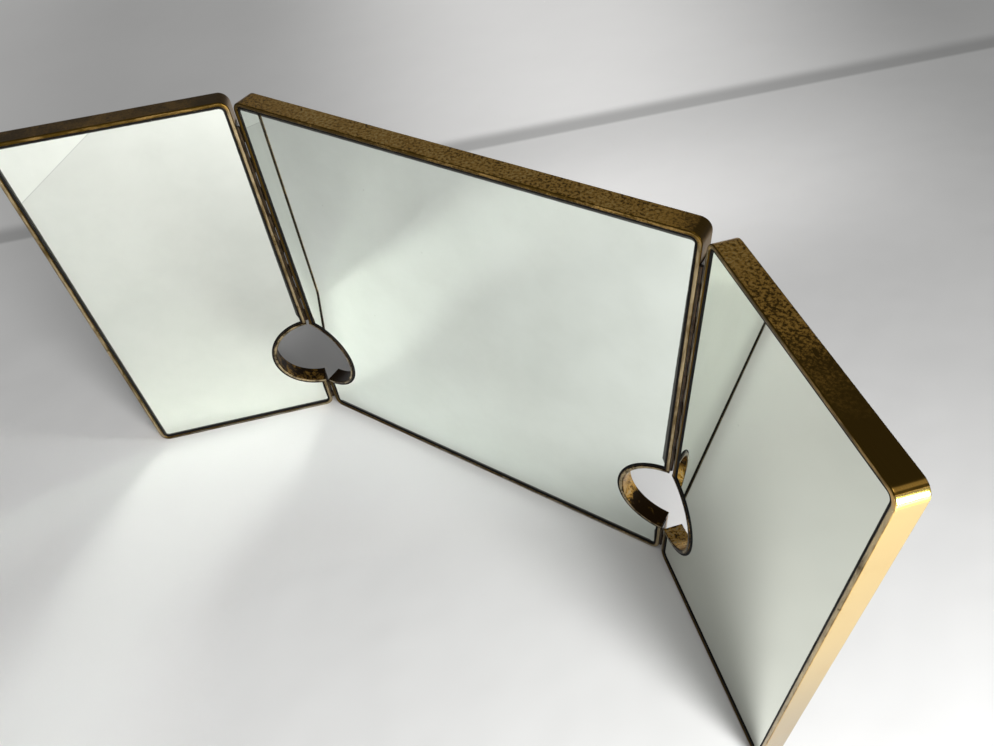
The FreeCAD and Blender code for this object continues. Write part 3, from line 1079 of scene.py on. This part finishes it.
@dataclass(frozen=True)
class DullMetal:
    """A small metal part: one colour with a darker tarnish in patches.

    Attributes:
        name: The material's name.
        bright: The metal's colour.
        dark: The tarnish's colour.
        rough: The middle roughness.
        patch: How many patches there are in a metre.
    """

    name: str
    bright: Colour
    dark: Colour
    rough: float = 0.38
    patch: float = 160.0

    def build(self) -> bpy.types.Material:
        """Make the material.

        Returns:
            The material.
        """
        g = Graph(self.name)
        spot = g.place()
        patches = g.range(g.noise(spot, self.patch, 5.0, 0.6), 0.34, 0.66)
        grain = g.noise(spot, 2400.0, 2.0)
        sockets = {
            "Base Color": g.mix(patches, self.bright, self.dark),
            "Metallic": 1.0,
            "Roughness": g.range(grain, 0.3, 0.7, self.rough - 0.06, self.rough + 0.08),
            "Normal": g.bump(grain, 0.12, 0.03 * MM),
        }
        return g.finish(sockets)


@dataclass(frozen=True)
class FibreBoard:
    """Brown pressed board, seen only where a panel is open.

    Attributes:
        name: The material's name.
        dark: Its colour between the fibres.
        light: Its colour on them.
    """

    name: str
    dark: Colour = (0.16, 0.10, 0.055)
    light: Colour = (0.34, 0.23, 0.14)

    def build(self) -> bpy.types.Material:
        """Make the material.

        Returns:
            The material.
        """
        g = Graph(self.name)
        fibres = g.noise(g.place(), 700.0, 6.0, 0.7)
        colour, normal = g.mix(fibres, self.dark, self.light), g.bump(fibres, 0.3, 0.1 * MM)
        return g.finish({"Base Color": colour, "Roughness": 0.85, "Normal": normal})


@dataclass(frozen=True)
class Ground:
    """Matt pale paper that ends behind the mirror, a soft line of painted shade where it ends, and
    a table beyond it.

    Attributes:
        name: The material's name.
        paper: The paper's colour.
        cloudy: How bright it is where it is darkest, as a share.
        line: How bright the line of painted shade is where the paper ends, as a share.
        turn: The angle of the line from the X axis.
        line_at: How far behind the middle of the mirror the line starts and is darkest, and
            where it starts to fade and ends.
        table: The colour of the table in front of the paper.
        towards: The direction from the middle of the mirror to the paper's front edge.
        reach: How far that edge is.
        glow: The colour of the far part's glow.
        rise: How it rises along the line.
        fall: How it falls further along.
        slant: How the fall moves along the line with the distance behind the mirror.
        far_left: How much it rises at the far left.
        start: The distances behind the mirror between which it starts.
        later: How much later it starts towards the left.
        shade_dip: How much painted shade dips the glow before the line.
    """

    name: str
    paper: Colour = (0.80, 0.80, 0.79)
    cloudy: float = 0.95
    line: float = 0.66
    turn: float = math.radians(44.2)
    line_at: tuple[float, float, float, float] = (0.3875, 0.394, 0.402, 0.425)
    table: Colour = (0.92, 0.92, 0.91)
    towards: tuple[float, float, float] = (-0.379, -0.9255, 0.0)
    reach: float = 0.473
    glow: Colour = (1.0, 0.99, 0.975)
    rise: Span = (-0.17, 0.21, 0.07, 0.365)
    fall: Span = (0.15, 0.60, 1.0, 0.0)
    slant: float = -0.3
    far_left: Span = (-0.55, -0.30, 0.07, 0.0)
    start: tuple[float, float] = (0.07, 0.24)
    later: Span = (-0.25, 0.10, 0.16, 0.0)
    shade_dip: Span = (0.25, 0.39, 0.0, 0.38)

    def _glow(
        self, g: Graph, along: bpy.types.NodeSocket, away: bpy.types.NodeSocket
    ) -> bpy.types.NodeSocket:
        """How brightly the far part is seen.

        It is a rise times a fall along the line, plus a slight rise at the far left, times a
        start away from the mirror, times one less the painted shade that dips it before the line.

        Args:
            g: The material's graph.
            along: Distance along the line.
            away: Distance behind the mirror.

        Returns:
            The glow's strength.
        """
        slanted = g.sum(along, g.times(g.sum(away, -0.25), self.slant))
        pool = g.times(g.range(along, *self.rise), g.range(slanted, *self.fall))
        pool = g.sum(pool, g.range(along, *self.far_left))
        begun = g.range(g.less(away, g.range(along, *self.later)), *self.start)
        # Painted shade: the glow dips before the line.
        shade_dip = g.times(g.range(away, *self.shade_dip), g.range(away, *self.line_at[2:], 1.0, 0.0))
        return g.times(pool, begun, g.less(1.0, shade_dip))

    def build(self) -> bpy.types.Material:
        """Make the material, whose glow is only seen and lights nothing.

        Returns:
            The material.
        """
        g = Graph(self.name)
        spot = g.place()
        sockets = {"Vector": spot, "Rotation": (0.0, 0.0, -self.turn)}
        turned = g.add("Mapping", sockets).outputs["Vector"]
        split = g.add("SeparateXYZ", {"Vector": turned}).outputs
        along, away = split["X"], split["Y"]
        # Painted shade: a soft dark line where the paper ends, which also dims the glow.
        begin, dark, fade, end = self.line_at
        line = g.times(g.range(away, begin, dark), g.range(away, fade, end, 1.0, 0.0))
        cloud = g.range(g.noise(spot, 3.5), 0.3, 0.7)
        pale = g.mix(cloud, self.paper, tuple(self.cloudy * c for c in self.paper))
        shade = tuple(self.line * c for c in self.paper)
        towards = {0: spot, 1: self.towards}
        near = g.add("VectorMath", towards, operation="DOT_PRODUCT").outputs["Value"]
        # Painted shadow: a thin dark line along the paper's front edge.
        edge = g.times(g.range(near, self.reach - 1.5 * MM, self.reach), 0.7)
        colour = g.mix(edge, g.mix(line, pale, shade), shade)
        colour = g.mix(g.range(near, self.reach, self.reach + 1 * MM), colour, self.table)
        rays = g.add("LightPath", {}).outputs
        seen = g.sum(rays["Is Camera Ray"], rays["Is Glossy Ray"], rays["Is Transmission Ray"])
        glow = g.times(self._glow(g, along, away), g.range(line, 0.0, 1.0, 1.0, self.line))
        normal = g.bump(g.noise(spot, 7.0, 3.0), 0.30, 6 * MM)
        sockets = {
            "Base Color": colour,
            "Roughness": 0.9,
            "Normal": g.bump(g.noise(spot, 900.0, 3.0), 0.06, 0.1 * MM, normal),
            "Emission Color": paint(self.glow),
            "Emission Strength": g.times(seen, glow),
        }
        return g.finish(sockets)


# ---- assemblies ----------------------------------------------------------------------------


def follow(stops: Stops, at: np.ndarray, column: int = 1) -> np.ndarray:
    """Read a value between stops, each a place and its values."""
    table = np.array(stops)
    return np.interp(at, table[:, 0], table[:, column])


@dataclass(frozen=True)
class TarnishAndPaintedLight:
    """How thick the film on a bar is, where the film also paints shade, dark reflections and a
    highlight.

    Attributes:
        face: Film and speckle on the outer face, by the share of the way from the panel's left
            edge to its right, or from a hole's foot to its top.
        front: Film on the front, by the same share.
        foot: How much less film there is on the front at the foot's right end than at its left.
        left: Film on the outer face by how far it looks to the left, from 0 to 1.
        right: The same for the right.
    """

    face: Stops
    front: Stops
    foot: float = 0.0
    left: Stops = ((0.5, 0.85), (1.0, 0.8))
    right: Stops = ((0.5, 0.85), (1.0, 0.8))

    def at(
        self, share: np.ndarray, looks: np.ndarray, height: np.ndarray
    ) -> tuple[np.ndarray, np.ndarray, np.ndarray]:
        """Film and specks at each point of the line that a bar follows.

        Args:
            share: Share of the way across.
            looks: The outer face's direction along the panel, from -1 to 1.
            height: Height above the floor.

        Returns:
            Film on the face, film on the front, and speckle.
        """
        film = follow(self.face, share)
        for stops, side in ((self.left, -looks), (self.right, looks)):
            film = np.where(side > stops[0][0], follow(stops, side), film)
        speckle = follow(self.face, share, 2) * (1 - smooth_step(0.25, 0.6, np.abs(looks)))
        at_foot = 1 - smooth_step(*FOOT_FADE, height)
        return film, follow(self.front, share) - self.foot * share * at_foot, speckle


@dataclass
class Panel:
    """One framed mirror: its bars, glass, bead and back cover.

    Attributes:
        name: First word of its nodes' names.
        body: The CAD body that it rides on.
        outline: Its outline.
        place: Where its own frame stands.
        sizes: The mirror's sizes.
        tarnish: How its bar has tarnished, with the light and shade that its film paints.
        ring_tarnish_and_shade: How its hole bars have tarnished, with the shade that their film
            paints.
        decay: How far in from the bead painted shade darkens the silver, on the left, at the top
            and at the foot.
        rim_shade_clear: How far round a hole bar there is no painted shade.
        bead_width: The bead's width.
        bead_rise: How far it stands before its edges.
        bead_foot: How far it goes in behind the silver.
        glass_recess: Depth of the glass's front behind the panel's.
        glass_thick: The glass's thickness.
        silver_depth: Depth at which the silver shows.
        rim_steps: Distances from the glass's edge at which its front has points.
        fitting_gap: Gap between the bar and what fits in it.
        flat_edge: How far in the glass's and the cover's hidden faces have a ring of points.
        cover_recess: Depth of the cover's back inside the panel's.
        cover_thick: The cover's thickness.
        cover_turn: The radius of its back edge.
        cover_sink: How far its back lies inside its place.
        cover_step: Distance between its rings of points.
        cover_rings: How many rings its flat back has.
        dimple_depth: How far a screw pulls it in.
        dimple_reach: How far round the screw.
        screw_inset: Distance of the screws from the bar.
        screw_height: Their distance from the panel's foot and top.
        true_end: Distance from a bar's ends within which it runs true.
        solder: How far the dark solder reaches from a hole bar's ends.
    """

    name: str
    body: str
    outline: Outline
    place: Place
    sizes: Sizes
    tarnish: TarnishAndPaintedLight
    ring_tarnish_and_shade: dict[int, TarnishAndPaintedLight]
    decay: tuple[float, float, float] = (0.0, 0.0, 0.0)
    rim_shade_clear: float = 4.0 * MM
    bead_width: float = 1.25 * MM
    bead_rise: float = 0.6 * MM
    bead_foot: float = 0.4 * MM
    glass_recess: float = 1.0 * MM
    glass_thick: float = 3.0 * MM
    silver_depth: float = 1.05 * MM
    rim_steps: tuple[float, ...] = (0.0, 0.6 * MM, 1.2 * MM, 2 * MM, 3 * MM, 4.5 * MM, 6.5 * MM)
    fitting_gap: float = 0.2 * MM
    flat_edge: float = 5.0 * MM
    cover_recess: float = 0.4 * MM
    cover_thick: float = 2.5 * MM
    cover_turn: float = 0.9 * MM
    cover_sink: float = 0.12 * MM
    cover_step: float = 0.6 * MM
    cover_rings: int = 15
    dimple_depth: float = 0.45 * MM
    dimple_reach: float = 3.2 * MM
    screw_inset: float = 2.5 * MM
    screw_height: float = 15.0 * MM
    true_end: float = 12.0 * MM
    solder: float = 1.5 * MM

    def _settle(
        self, piece: bpy.types.Object, node: str, material: bpy.types.Material
    ) -> None:
        """Give a new piece its material and body, and hide the CAD node that it stands for.

        Args:
            piece: The new piece.
            node: The CAD node that it stands for.
            material: Its material.
        """
        piece.data.materials.append(material)
        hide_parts(node)
        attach(piece, self.body)
        log.info("%s: %d faces on %s", piece.name, len(piece.data.polygons), self.body)

    def _sweep_bar(
        self,
        rows: Callable[[float], np.ndarray],
        tarnish: TarnishAndPaintedLight,
        seed: int,
        is_hole: bool = False,
    ) -> Surface:
        """Carry the bar's section along a line of the outline.

        Each section point keeps its inset from the line and its depth, and the whole section
        sits back from the outer face by a slight wobble.

        Args:
            rows: Gives the line's points for an inset.
            tarnish: How the bar has tarnished, with the light and shade that its film paints.
            seed: Picks the wobble.
            is_hole: Whether the line is a half-round.

        Returns:
            The bar's surface.
        """
        inset, depth, front, arris = BarSection(self.sizes.bar, self.sizes.depth).loop()
        lines = np.stack([rows(value) for value in inset], axis=1)
        outer = rows(0.0)
        steps = np.linalg.norm(np.diff(outer, axis=0), axis=1)
        along = np.concatenate(([0.0], np.cumsum(steps)))
        from_end = np.minimum(along, along[-1] - along)
        inward = rows(1.0 * MM) - outer
        inward /= np.linalg.norm(inward, axis=1)[:, None]
        wobble = fair_wobble(along, seed) * smooth_step(0.0, self.true_end, from_end)
        lines = lines + (inward * wobble[:, None])[:, None, :]
        shape = lines.shape[:2]
        points = self.place.put(lines[..., 0], np.broadcast_to(depth, shape), lines[..., 1])
        if is_hole:
            film, front_film, speckle = self._hole_tarnish_and_shade(tarnish, along / along[-1], from_end)
        else:
            share = (outer[:, 0] - self.outline.left) / (self.outline.right - self.outline.left)
            film, front_film, speckle = tarnish.at(share, -inward[:, 0], outer[:, 1])
        marks = {
            "film": film[:, None] * (1 - front) + front_film[:, None] * front,
            "speckle": speckle[:, None] * (1 - 0.7 * front),
            "front": np.broadcast_to(front, shape),
            "arris": np.broadcast_to(arris, shape),
        }
        return Surface(points, marks=marks)

    def _hole_tarnish_and_shade(
        self, tarnish: TarnishAndPaintedLight, share: np.ndarray, from_end: np.ndarray
    ) -> tuple[np.ndarray, np.ndarray, np.ndarray]:
        """Film and specks along a hole bar, whose soldered ends are dark.

        Args:
            tarnish: How the bar has tarnished, with the shade that its film paints.
            share: Share of the way along it.
            from_end: Distance from its nearer end.

        Returns:
            Film on the face, film on the front, and speckle.
        """
        level = np.full(len(share), self.sizes.hole_height)
        film, front_film, speckle = tarnish.at(share, 0 * share, level)
        solder = 1 - smooth_step(0.0, self.solder, from_end)
        return np.maximum(film, solder), np.maximum(front_film, 0.9 * solder), speckle

    def build_bars(self, material: bpy.types.Material, spans: dict[str, tuple[Run, Run]]) -> None:
        """Make the long bars.

        Args:
            material: Their brass.
            spans: For each node, the first and last run that its bar covers.
        """
        cope = self.sizes.hole_radius + self.sizes.bar.thick
        for number, (node, (first, last)) in enumerate(spans.items()):
            surface = self._sweep_bar(
                lambda inset, a=first, b=last: self.outline.stretch(a, b, inset, cope),
                self.tarnish,
                seed=number + len(self.name),
            )
            self._settle(surface.build(f"{node}_bar"), node, material)

    def build_hole_bars(self, material: bpy.types.Material, nodes: dict[int, str]) -> None:
        """Make the bars that are bent round the half-rounds.

        Args:
            material: Their brass.
            nodes: The CAD node at each hinged side, by its sign.
        """
        for sign, node in nodes.items():
            surface = self._sweep_bar(
                lambda inset, s=sign: self.outline.notch(s, inset),
                self.ring_tarnish_and_shade[sign],
                seed=20 + sign + len(self.name),
                is_hole=True,
            )
            self._settle(surface.build(f"{node}_bar"), node, material)

    def _rings(
        self, profile: list[tuple[float, float]]
    ) -> tuple[np.ndarray, np.ndarray, np.ndarray]:
        """Whole outlines, one for each inset and depth of a profile.

        Args:
            profile: Insets and depths.

        Returns:
            Distances across, depths and heights, each rows by columns.
        """
        rings = np.stack([self.outline.ring(inset) for inset, _ in profile])
        depth = np.array([d for _, d in profile])[:, None] + 0 * rings[..., 0]
        return rings[..., 0], depth, rings[..., 1]

    def build_bead(self, material: bpy.types.Material) -> None:
        """Make the black bead: a flattened half-round whose inner side runs down to the silver.

        Args:
            material: Its putty.
        """
        start, width, low = self.sizes.bar.thick, self.bead_width, self.glass_recess
        profile = [
            (start + width * (1 - math.cos(a)) / 2, low - self.bead_rise * math.sin(a) ** 0.6)
            for a in np.linspace(0.0, math.pi, 9)[1:-1]
        ]
        foot = self.silver_depth + self.bead_foot
        wall = [(start + width, foot), (start + self.fitting_gap, foot)]
        profile = [(start, low), *profile, (start + width, low), *wall]
        piece = Surface(self.place.put(*self._rings(profile)), wrap_rows=True)
        piece = piece.build(f"{self.name}_black_bead")
        self._settle(piece, f"{self.name}_glazing_bead", material)

    def _rim_shade(self, edge: float) -> np.ndarray:
        """How far in from the bead painted shade darkens the silver at each point of the outline.

        Each side's value counts by how far the outline looks to that side, except near the
        hole bars, where there is no painted shade.

        Args:
            edge: Inset of the glass's edge.

        Returns:
            Distances from the bead.
        """
        line = self.outline.ring(edge)
        out = line - self.outline.ring(edge + 1 * MM)
        out /= np.linalg.norm(out, axis=1)[:, None]
        looks = (-out[:, 0], out[:, 1], -out[:, 1])
        decay = sum(far * np.maximum(look, 0) for far, look in zip(self.decay, looks))
        clear = self.sizes.hole_radius + edge + self.rim_shade_clear
        for sign in self.outline.notches:
            across = line[:, 0] - self.outline.edge(sign)
            gap = np.hypot(across, line[:, 1] - self.sizes.hole_height)
            decay = np.where(gap < clear, 0.0, decay)
        return decay

    def build_glass(self, material: bpy.types.Material) -> None:
        """Make the mirror, at the depth at which its silver shows through the glass.

        Args:
            material: Its silvered glass.
        """
        edge = self.sizes.bar.thick + self.fitting_gap
        back = self.glass_recess + self.glass_thick
        profile = [(edge + self.flat_edge, back), (edge, back)]
        profile += [(edge + reach, self.silver_depth) for reach in self.rim_steps]
        points = self.place.put(*self._rings(profile))
        shape = points.shape[:2]
        rim = np.array([inset - edge for inset, _ in profile])[:, None]
        marks = {"rim": np.broadcast_to(rim, shape)}
        # Painted shade along the left, top and foot edges of the silver, for the thick glass's dark
        # edge.
        marks["decay"] = np.broadcast_to(self._rim_shade(edge), shape)
        piece = Surface(points, marks=marks).build(f"{self.name}_mirror")
        self._settle(piece, f"{self.name}_mirror_glass", material)

    def build_cover(self, material: bpy.types.Material) -> None:
        """Make the back cover: a soft-edged plate that its screws pull in a little.

        Its back edge is a quarter turn, and about each screw the back is lowered by the dimple
        depth times exp(-(r / reach)^2).

        Args:
            material: Its leathercloth.
        """
        edge, turn = self.sizes.bar.thick + self.fitting_gap, self.cover_turn
        back = self.sizes.depth - self.cover_recess
        front = back - self.cover_thick
        profile = [(edge + self.flat_edge, front), (edge, front)]
        profile += [
            (edge + turn * (1 - math.cos(a)), back - turn + turn * math.sin(a))
            for a in np.linspace(0.0, math.pi / 2, 6)
        ]
        reaches = np.arange(1, self.cover_rings + 1) * self.cover_step
        profile += [(edge + turn + reach, back) for reach in reaches]
        across, depth, up = self._rings(profile)
        on_back = depth > back - 0.1 * MM
        for x, z in self._screw_places():
            away = np.hypot(across - x, up - z) / self.dimple_reach
            depth = depth - on_back * self.dimple_depth * np.exp(-(away**2))
        surface = Surface(self.place.put(across, depth - on_back * self.cover_sink, up))
        piece = surface.build(f"{self.name}_back")
        self._settle(piece, f"{self.name}_back_cover", material)

    def _screw_places(self) -> list[tuple[float, float]]:
        """Where the cover screws are, in the panel's own plane.

        Returns:
            The four places.
        """
        inset, up = self.sizes.bar.thick + self.screw_inset, self.screw_height
        across = (self.outline.left + inset, self.outline.right - inset)
        return [(x, z) for x in across for z in (up, self.sizes.height - up)]


def dress(nodes: list[str], material: bpy.types.Material) -> None:
    """Give CAD nodes a material.

    Args:
        nodes: The nodes' names.
        material: The material for all their slots.
    """
    for name in nodes:
        node = frame["nodes"][name]
        if not node.material_slots:
            node.data.materials.append(material)
        for slot in node.material_slots:
            slot.material = material
        log.info("%s wears %s", name, material.name)


@dataclass
class Mirror:
    """The whole trifold mirror.

    Attributes:
        sizes: Its sizes.
    """

    sizes: Sizes

    def middle(self) -> Panel:
        """The middle panel, which stands still and has a hinge at either side.

        Returns:
            The panel.
        """
        s = self.sizes
        # The hole bars' dark stretches paint the shade and dark reflections inside the half-rounds;
        # the speckled gold stretch is patina.
        shaded_hole = TarnishAndPaintedLight(((0, 1.2, 0.1), (1, 1.2, 0.1)), ((0, 0.85), (1, 0.75)))
        half_shaded_hole = TarnishAndPaintedLight(
            face=(
                *((0, 1.1, 0.1), (0.27, 1.1, 0.1), (0.35, 0.38, 0.7)),
                *((0.68, 0.42, 0.8), (0.84, 1.0, 0.2), (1, 1.0, 0)),
            ),
            front=((0, 0.9), (0.4, 0.6), (0.8, 0.6), (1, 0.7)),
        )
        return Panel(
            name="middle",
            body="middle_panel",
            outline=Outline(-s.half_width, s.half_width, (-1, 1), s),
            place=Place(0.0, -s.depth / 2),
            sizes=s,
            tarnish=TarnishAndPaintedLight(
                face=(
                    *((0, 0.8, 0.2), (0.05, 0.5, 0.9), (0.2, 0.38, 1)),
                    *((0.4, 0.48, 1), (0.9, 0.53, 1), (1, 0.78, 0)),
                ),
                front=((0, 1.15), (0.02, 0.93), (0.6, 0.88), (0.8, 0.80), (0.96, 0.86), (1, 0.62)),
                right=((0.1, 0.8), (0.35, 1.0), (0.8, 1.0), (0.92, 0.8), (1, 0.75)),
                foot=0.45,
            ),
            ring_tarnish_and_shade={-1: shaded_hole, 1: half_shaded_hole},
            # Painted shade along the silver's top and foot edges.
            decay=(0.0, 1.2 * MM, 2.5 * MM),
        )

    def wing(self, side: Side) -> Panel:
        """One wing, which hangs on its hinge axis and is folded in at rest.

        Args:
            side: Which wing.

        Returns:
            The wing.
        """
        s, sign, name = self.sizes, side.value, side.name.lower()
        near, far = sorted((s.edge_gap * sign, (s.edge_gap + s.wing_width) * sign))
        axis_y = -s.depth / 2 - s.hinge_proud
        tarnish_and_painted_light_by_side = {
            Side.LEFT: TarnishAndPaintedLight(
                face=((0, 0.86, 0.15), (1, 0.88, 0.10)),
                front=((0, 0.62), (0.03, 0.90), (0.9, 0.92), (1, 0.64)),
                left=((0.5, 0.7), (1, 0.5)),
                foot=0.5,
            ),
            Side.RIGHT: TarnishAndPaintedLight(
                # The mottled film near the hinge is patina; the smooth dark film on the outer half
                # paints a dark reflection.
                face=(
                    *((0, 0.56, 1), (0.42, 0.64, 0.9), (0.50, 0.86, 0.5)),
                    *((0.60, 0.94, 0.3), (0.75, 1.0, 0.1), (1, 1.02, 0)),
                ),
                front=((0, 0.74), (0.03, 0.93), (0.6, 0.92), (0.95, 0.80), (1, 0.52)),
                # Across the outer corner, clean metal between bands of dark film paints a highlight
                # streak and a dark reflection; the polished side past it is the brass's own.
                right=(
                    *((0.12, 1.0), (0.26, 0.7), (0.34, 0.0), (0.42, 0.8)),
                    *((0.55, 1.0), (0.64, -0.5), (0.985, -0.5), (1, 0.0)),
                ),
            ),
        }
        # The darker film on the wings' hole bars, most of all at the top of the right one, is
        # patina with painted shade.
        holes = {
            Side.LEFT: TarnishAndPaintedLight(((0, 0.88, 0.1), (1, 0.84, 0.1)), ((0, 0.62), (1, 0.68))),
            Side.RIGHT: TarnishAndPaintedLight(
                ((0, 0.48, 1.0), (0.6, 0.5, 1.0), (1, 0.9, 0.3)), ((0, 0.85), (1, 0.95))
            ),
        }
        # Painted shade along the silver's edges: the left wing's left, top and foot, none on the
        # right wing.
        decay = {Side.LEFT: (1.1 * MM, 0.5 * MM, 1.5 * MM), Side.RIGHT: (0.0, 0.0, 0.0)}
        return Panel(
            name=name,
            body=f"{name}_wing",
            outline=Outline(near, far, (-sign,), s),
            place=Place(s.hinge_x * sign, axis_y, -s.fold * sign, s.hinge_proud),
            sizes=s,
            tarnish=tarnish_and_painted_light_by_side[side],
            ring_tarnish_and_shade={-sign: holes[side]},
            decay=decay[side],
        )

    def build_panels(self) -> None:
        """Build and dress the panels' own pieces."""
        brass = AgedBrass("aged_brass").build()
        # The hole bars' darker film is patina with painted shade inside the half-rounds.
        hole_film_and_shade = (0.026, 0.014, 0.005)
        hole_brass_and_shade = AgedBrass(
            "aged_brass_holes", film=hole_film_and_shade, seed=0.37, clouds=170.0, cloudy=0.5
        ).build()
        bead = BlackPutty("black_putty").build()
        cloth = LeatherCloth("black_leathercloth").build()
        spans = {
            "middle": {
                "middle_upper_band": (Run.RIGHT_HIGH, Run.LEFT_HIGH),
                "middle_lower_band": (Run.LEFT_LOW, Run.RIGHT_LOW),
            },
            "left": {"left_band": (Run.RIGHT_HIGH, Run.RIGHT_LOW)},
            "right": {"right_band": (Run.LEFT_LOW, Run.LEFT_HIGH)},
        }
        holes = {
            "middle": {-1: "middle_left_hole_band", 1: "middle_right_hole_band"},
            "left": {1: "left_hole_band"},
            "right": {-1: "right_hole_band"},
        }
        # Painted shade: the right panel's silver is darker than the other two.
        silver = {
            "middle": (0.915, 0.97, 0.905),
            "left": (0.92, 0.95, 0.88),
            "right": (0.75, 0.775, 0.69),
        }
        panels = [self.middle(), *(self.wing(side) for side in Side)]
        for number, panel in enumerate(panels):
            name = panel.name
            panel.build_bars(brass, spans[name])
            panel.build_hole_bars(hole_brass_and_shade, holes[name])
            panel.build_bead(bead)
            glass = SilveredGlass(f"silvered_glass_{name}", silver[name], seed=0.9 * number)
            panel.build_glass(glass.build())
            panel.build_cover(cloth)

    def dress_fittings(self) -> None:
        """Dress the hinges, screws, lugs and boards, by the ends of their nodes' names."""
        dark = DullMetal("dark_hinge_brass", (0.080, 0.055, 0.034), (0.020, 0.014, 0.010))
        steel = DullMetal("dull_wire", (0.18, 0.17, 0.155), (0.06, 0.05, 0.04), 0.36)
        screw = DullMetal("screw_brass", (0.55, 0.40, 0.18), (0.16, 0.10, 0.045), 0.34, 420.0)
        lug = DullMetal("sawn_brass", (0.62, 0.46, 0.21), (0.36, 0.24, 0.10), 0.45, 300.0)
        finishes = {
            ("_leaf",): dark,
            ("_pin",): steel,
            ("_screws", "_rivets"): screw,
            ("_lugs",): lug,
            ("_board",): FibreBoard("pressed_board"),
        }
        names = sorted(frame["nodes"])
        for endings, finish in finishes.items():
            dress([name for name in names if name.endswith(endings)], finish.build())


# ---- studio --------------------------------------------------------------------------------


@dataclass(frozen=True)
class Softbox:
    """A large soft lamp.

    Attributes:
        name: Its name.
        at: Where it hangs.
        aim: What it looks at.
        width: Its side, in metres.
        power: Its power, in watts.
        tint: Its colour.
    """

    name: str
    at: tuple[float, float, float]
    aim: tuple[float, float, float]
    width: float
    power: float
    tint: Colour = (1.0, 1.0, 1.0)

    def build(self) -> None:
        """Hang the lamp."""
        data = bpy.data.lights.new(self.name, "AREA")
        data.shape, data.size = "SQUARE", self.width
        data.energy, data.color = self.power, self.tint
        lamp = bpy.data.objects.new(self.name, data)
        lamp.location = self.at
        way = Vector(self.aim) - Vector(self.at)
        lamp.rotation_euler = way.to_track_quat("-Z", "Y").to_euler()
        bpy.context.scene.collection.objects.link(lamp)


@dataclass(frozen=True)
class Studio:
    """A pale floor, soft light and the camera.

    Attributes:
        reach: How far the floor goes from the middle.
        key: The main lamp, low at the right.
        top: A weak lamp above.
        room_level: The grey room's brightness.
        room_rise: How it rises along each axis.
        lens: The camera's focal length, in millimetres.
        sensor: The width of its sensor, in millimetres.
        clip: The nearest and farthest distance that it sees.
        camera_at: Where it stands.
        heading: Its turn to the right from the Y axis.
        pitch: How far it looks down.
        roll: How far it leans.
    """

    reach: float = 4.0
    key: Softbox = Softbox("key", (0.963, -0.418, 0.312), (0.589, -0.584, 0.05), 0.506, 24.6)
    top: Softbox = Softbox("top", (0.4, -0.3, 1.6), (0.05, 0.0, 0.0), 0.35, 2.4)
    room_level: float = 0.324
    room_rise: tuple[float, float, float] = (0.056, -0.070, -0.018)
    lens: float = 28.75
    sensor: float = 36.0
    clip: tuple[float, float] = (0.01, 50.0)
    camera_at: tuple[float, float, float] = (0.2036, -0.25725, 0.4549)
    heading: float = math.radians(-35.88)
    pitch: float = math.radians(47.87)
    roll: float = math.radians(6.55)

    def build_floor(self) -> None:
        """Lay the floor."""
        far = self.reach
        mesh = bpy.data.meshes.new("floor")
        corners = [(-far, -far, 0), (far, -far, 0), (far, far, 0), (-far, far, 0)]
        mesh.from_pydata(corners, [], [(0, 1, 2, 3)])
        mesh.materials.append(Ground("pale_paper").build())
        made = bpy.data.objects.new("floor", mesh)
        bpy.context.scene.collection.objects.link(made)

    def build_light(self) -> None:
        """Hang the lamps and give the room a soft grey that is lighter on the key's side.

        The room's brightness is a level plus each part of the direction times the rise along
        that axis. The light that the mirrors throw onto the floor is kept whole and sharp.
        """
        bpy.context.scene.cycles.blur_glossy = 0.0
        bpy.context.scene.cycles.sample_clamp_indirect = 0.0
        self.key.build()
        self.top.build()
        world = bpy.data.worlds.new("soft_room")
        bpy.context.scene.world = world
        world.use_nodes = True
        tree = world.node_tree
        tree.nodes.clear()
        way = tree.nodes.new("ShaderNodeTexCoord")
        along = tree.nodes.new("ShaderNodeVectorMath")
        along.operation = "DOT_PRODUCT"
        along.inputs[1].default_value = self.room_rise
        level = tree.nodes.new("ShaderNodeMath")
        level.inputs[1].default_value = self.room_level
        back = tree.nodes.new("ShaderNodeBackground")
        out = tree.nodes.new("ShaderNodeOutputWorld")
        tree.links.new(way.outputs["Generated"], along.inputs[0])
        tree.links.new(along.outputs["Value"], level.inputs[0])
        tree.links.new(level.outputs[0], back.inputs["Strength"])
        tree.links.new(back.outputs[0], out.inputs["Surface"])

    def build_camera(self) -> None:
        """Set the camera by its place, heading, pitch and roll.

        The view direction is (sin h cos p, cos h cos p, -sin p), and the picture's right and
        down directions are turned about it by the roll.
        """
        h, p, r = self.heading, self.pitch, self.roll
        ahead = Vector((math.sin(h) * math.cos(p), math.cos(h) * math.cos(p), -math.sin(p)))
        level = Vector((math.cos(h), -math.sin(h), 0.0))
        below = ahead.cross(level)
        right = level * math.cos(r) + below * math.sin(r)
        up = level * math.sin(r) - below * math.cos(r)
        data = bpy.data.cameras.new("camera")
        data.lens, data.sensor_width = self.lens, self.sensor
        data.clip_start, data.clip_end = self.clip
        camera = bpy.data.objects.new("camera", data)
        turn = Matrix((right, up, -ahead)).transposed().to_4x4()
        camera.matrix_world = Matrix.Translation(self.camera_at) @ turn
        bpy.context.scene.collection.objects.link(camera)
        bpy.context.scene.camera = camera


def main() -> None:
    """Build the mirror and its studio."""
    logging.basicConfig(level=logging.INFO, format="%(name)s %(message)s")
    bpy.context.scene.view_settings.view_transform = "Standard"
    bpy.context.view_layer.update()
    sizes = Sizes.from_frame()
    log.info("sizes: %s", sizes)
    mirror = Mirror(sizes)
    mirror.build_panels()
    mirror.dress_fittings()
    studio = Studio()
    studio.build_floor()
    studio.build_light()
    studio.build_camera()
    bpy.context.view_layer.update()


if __name__ == "__main__":
    main()
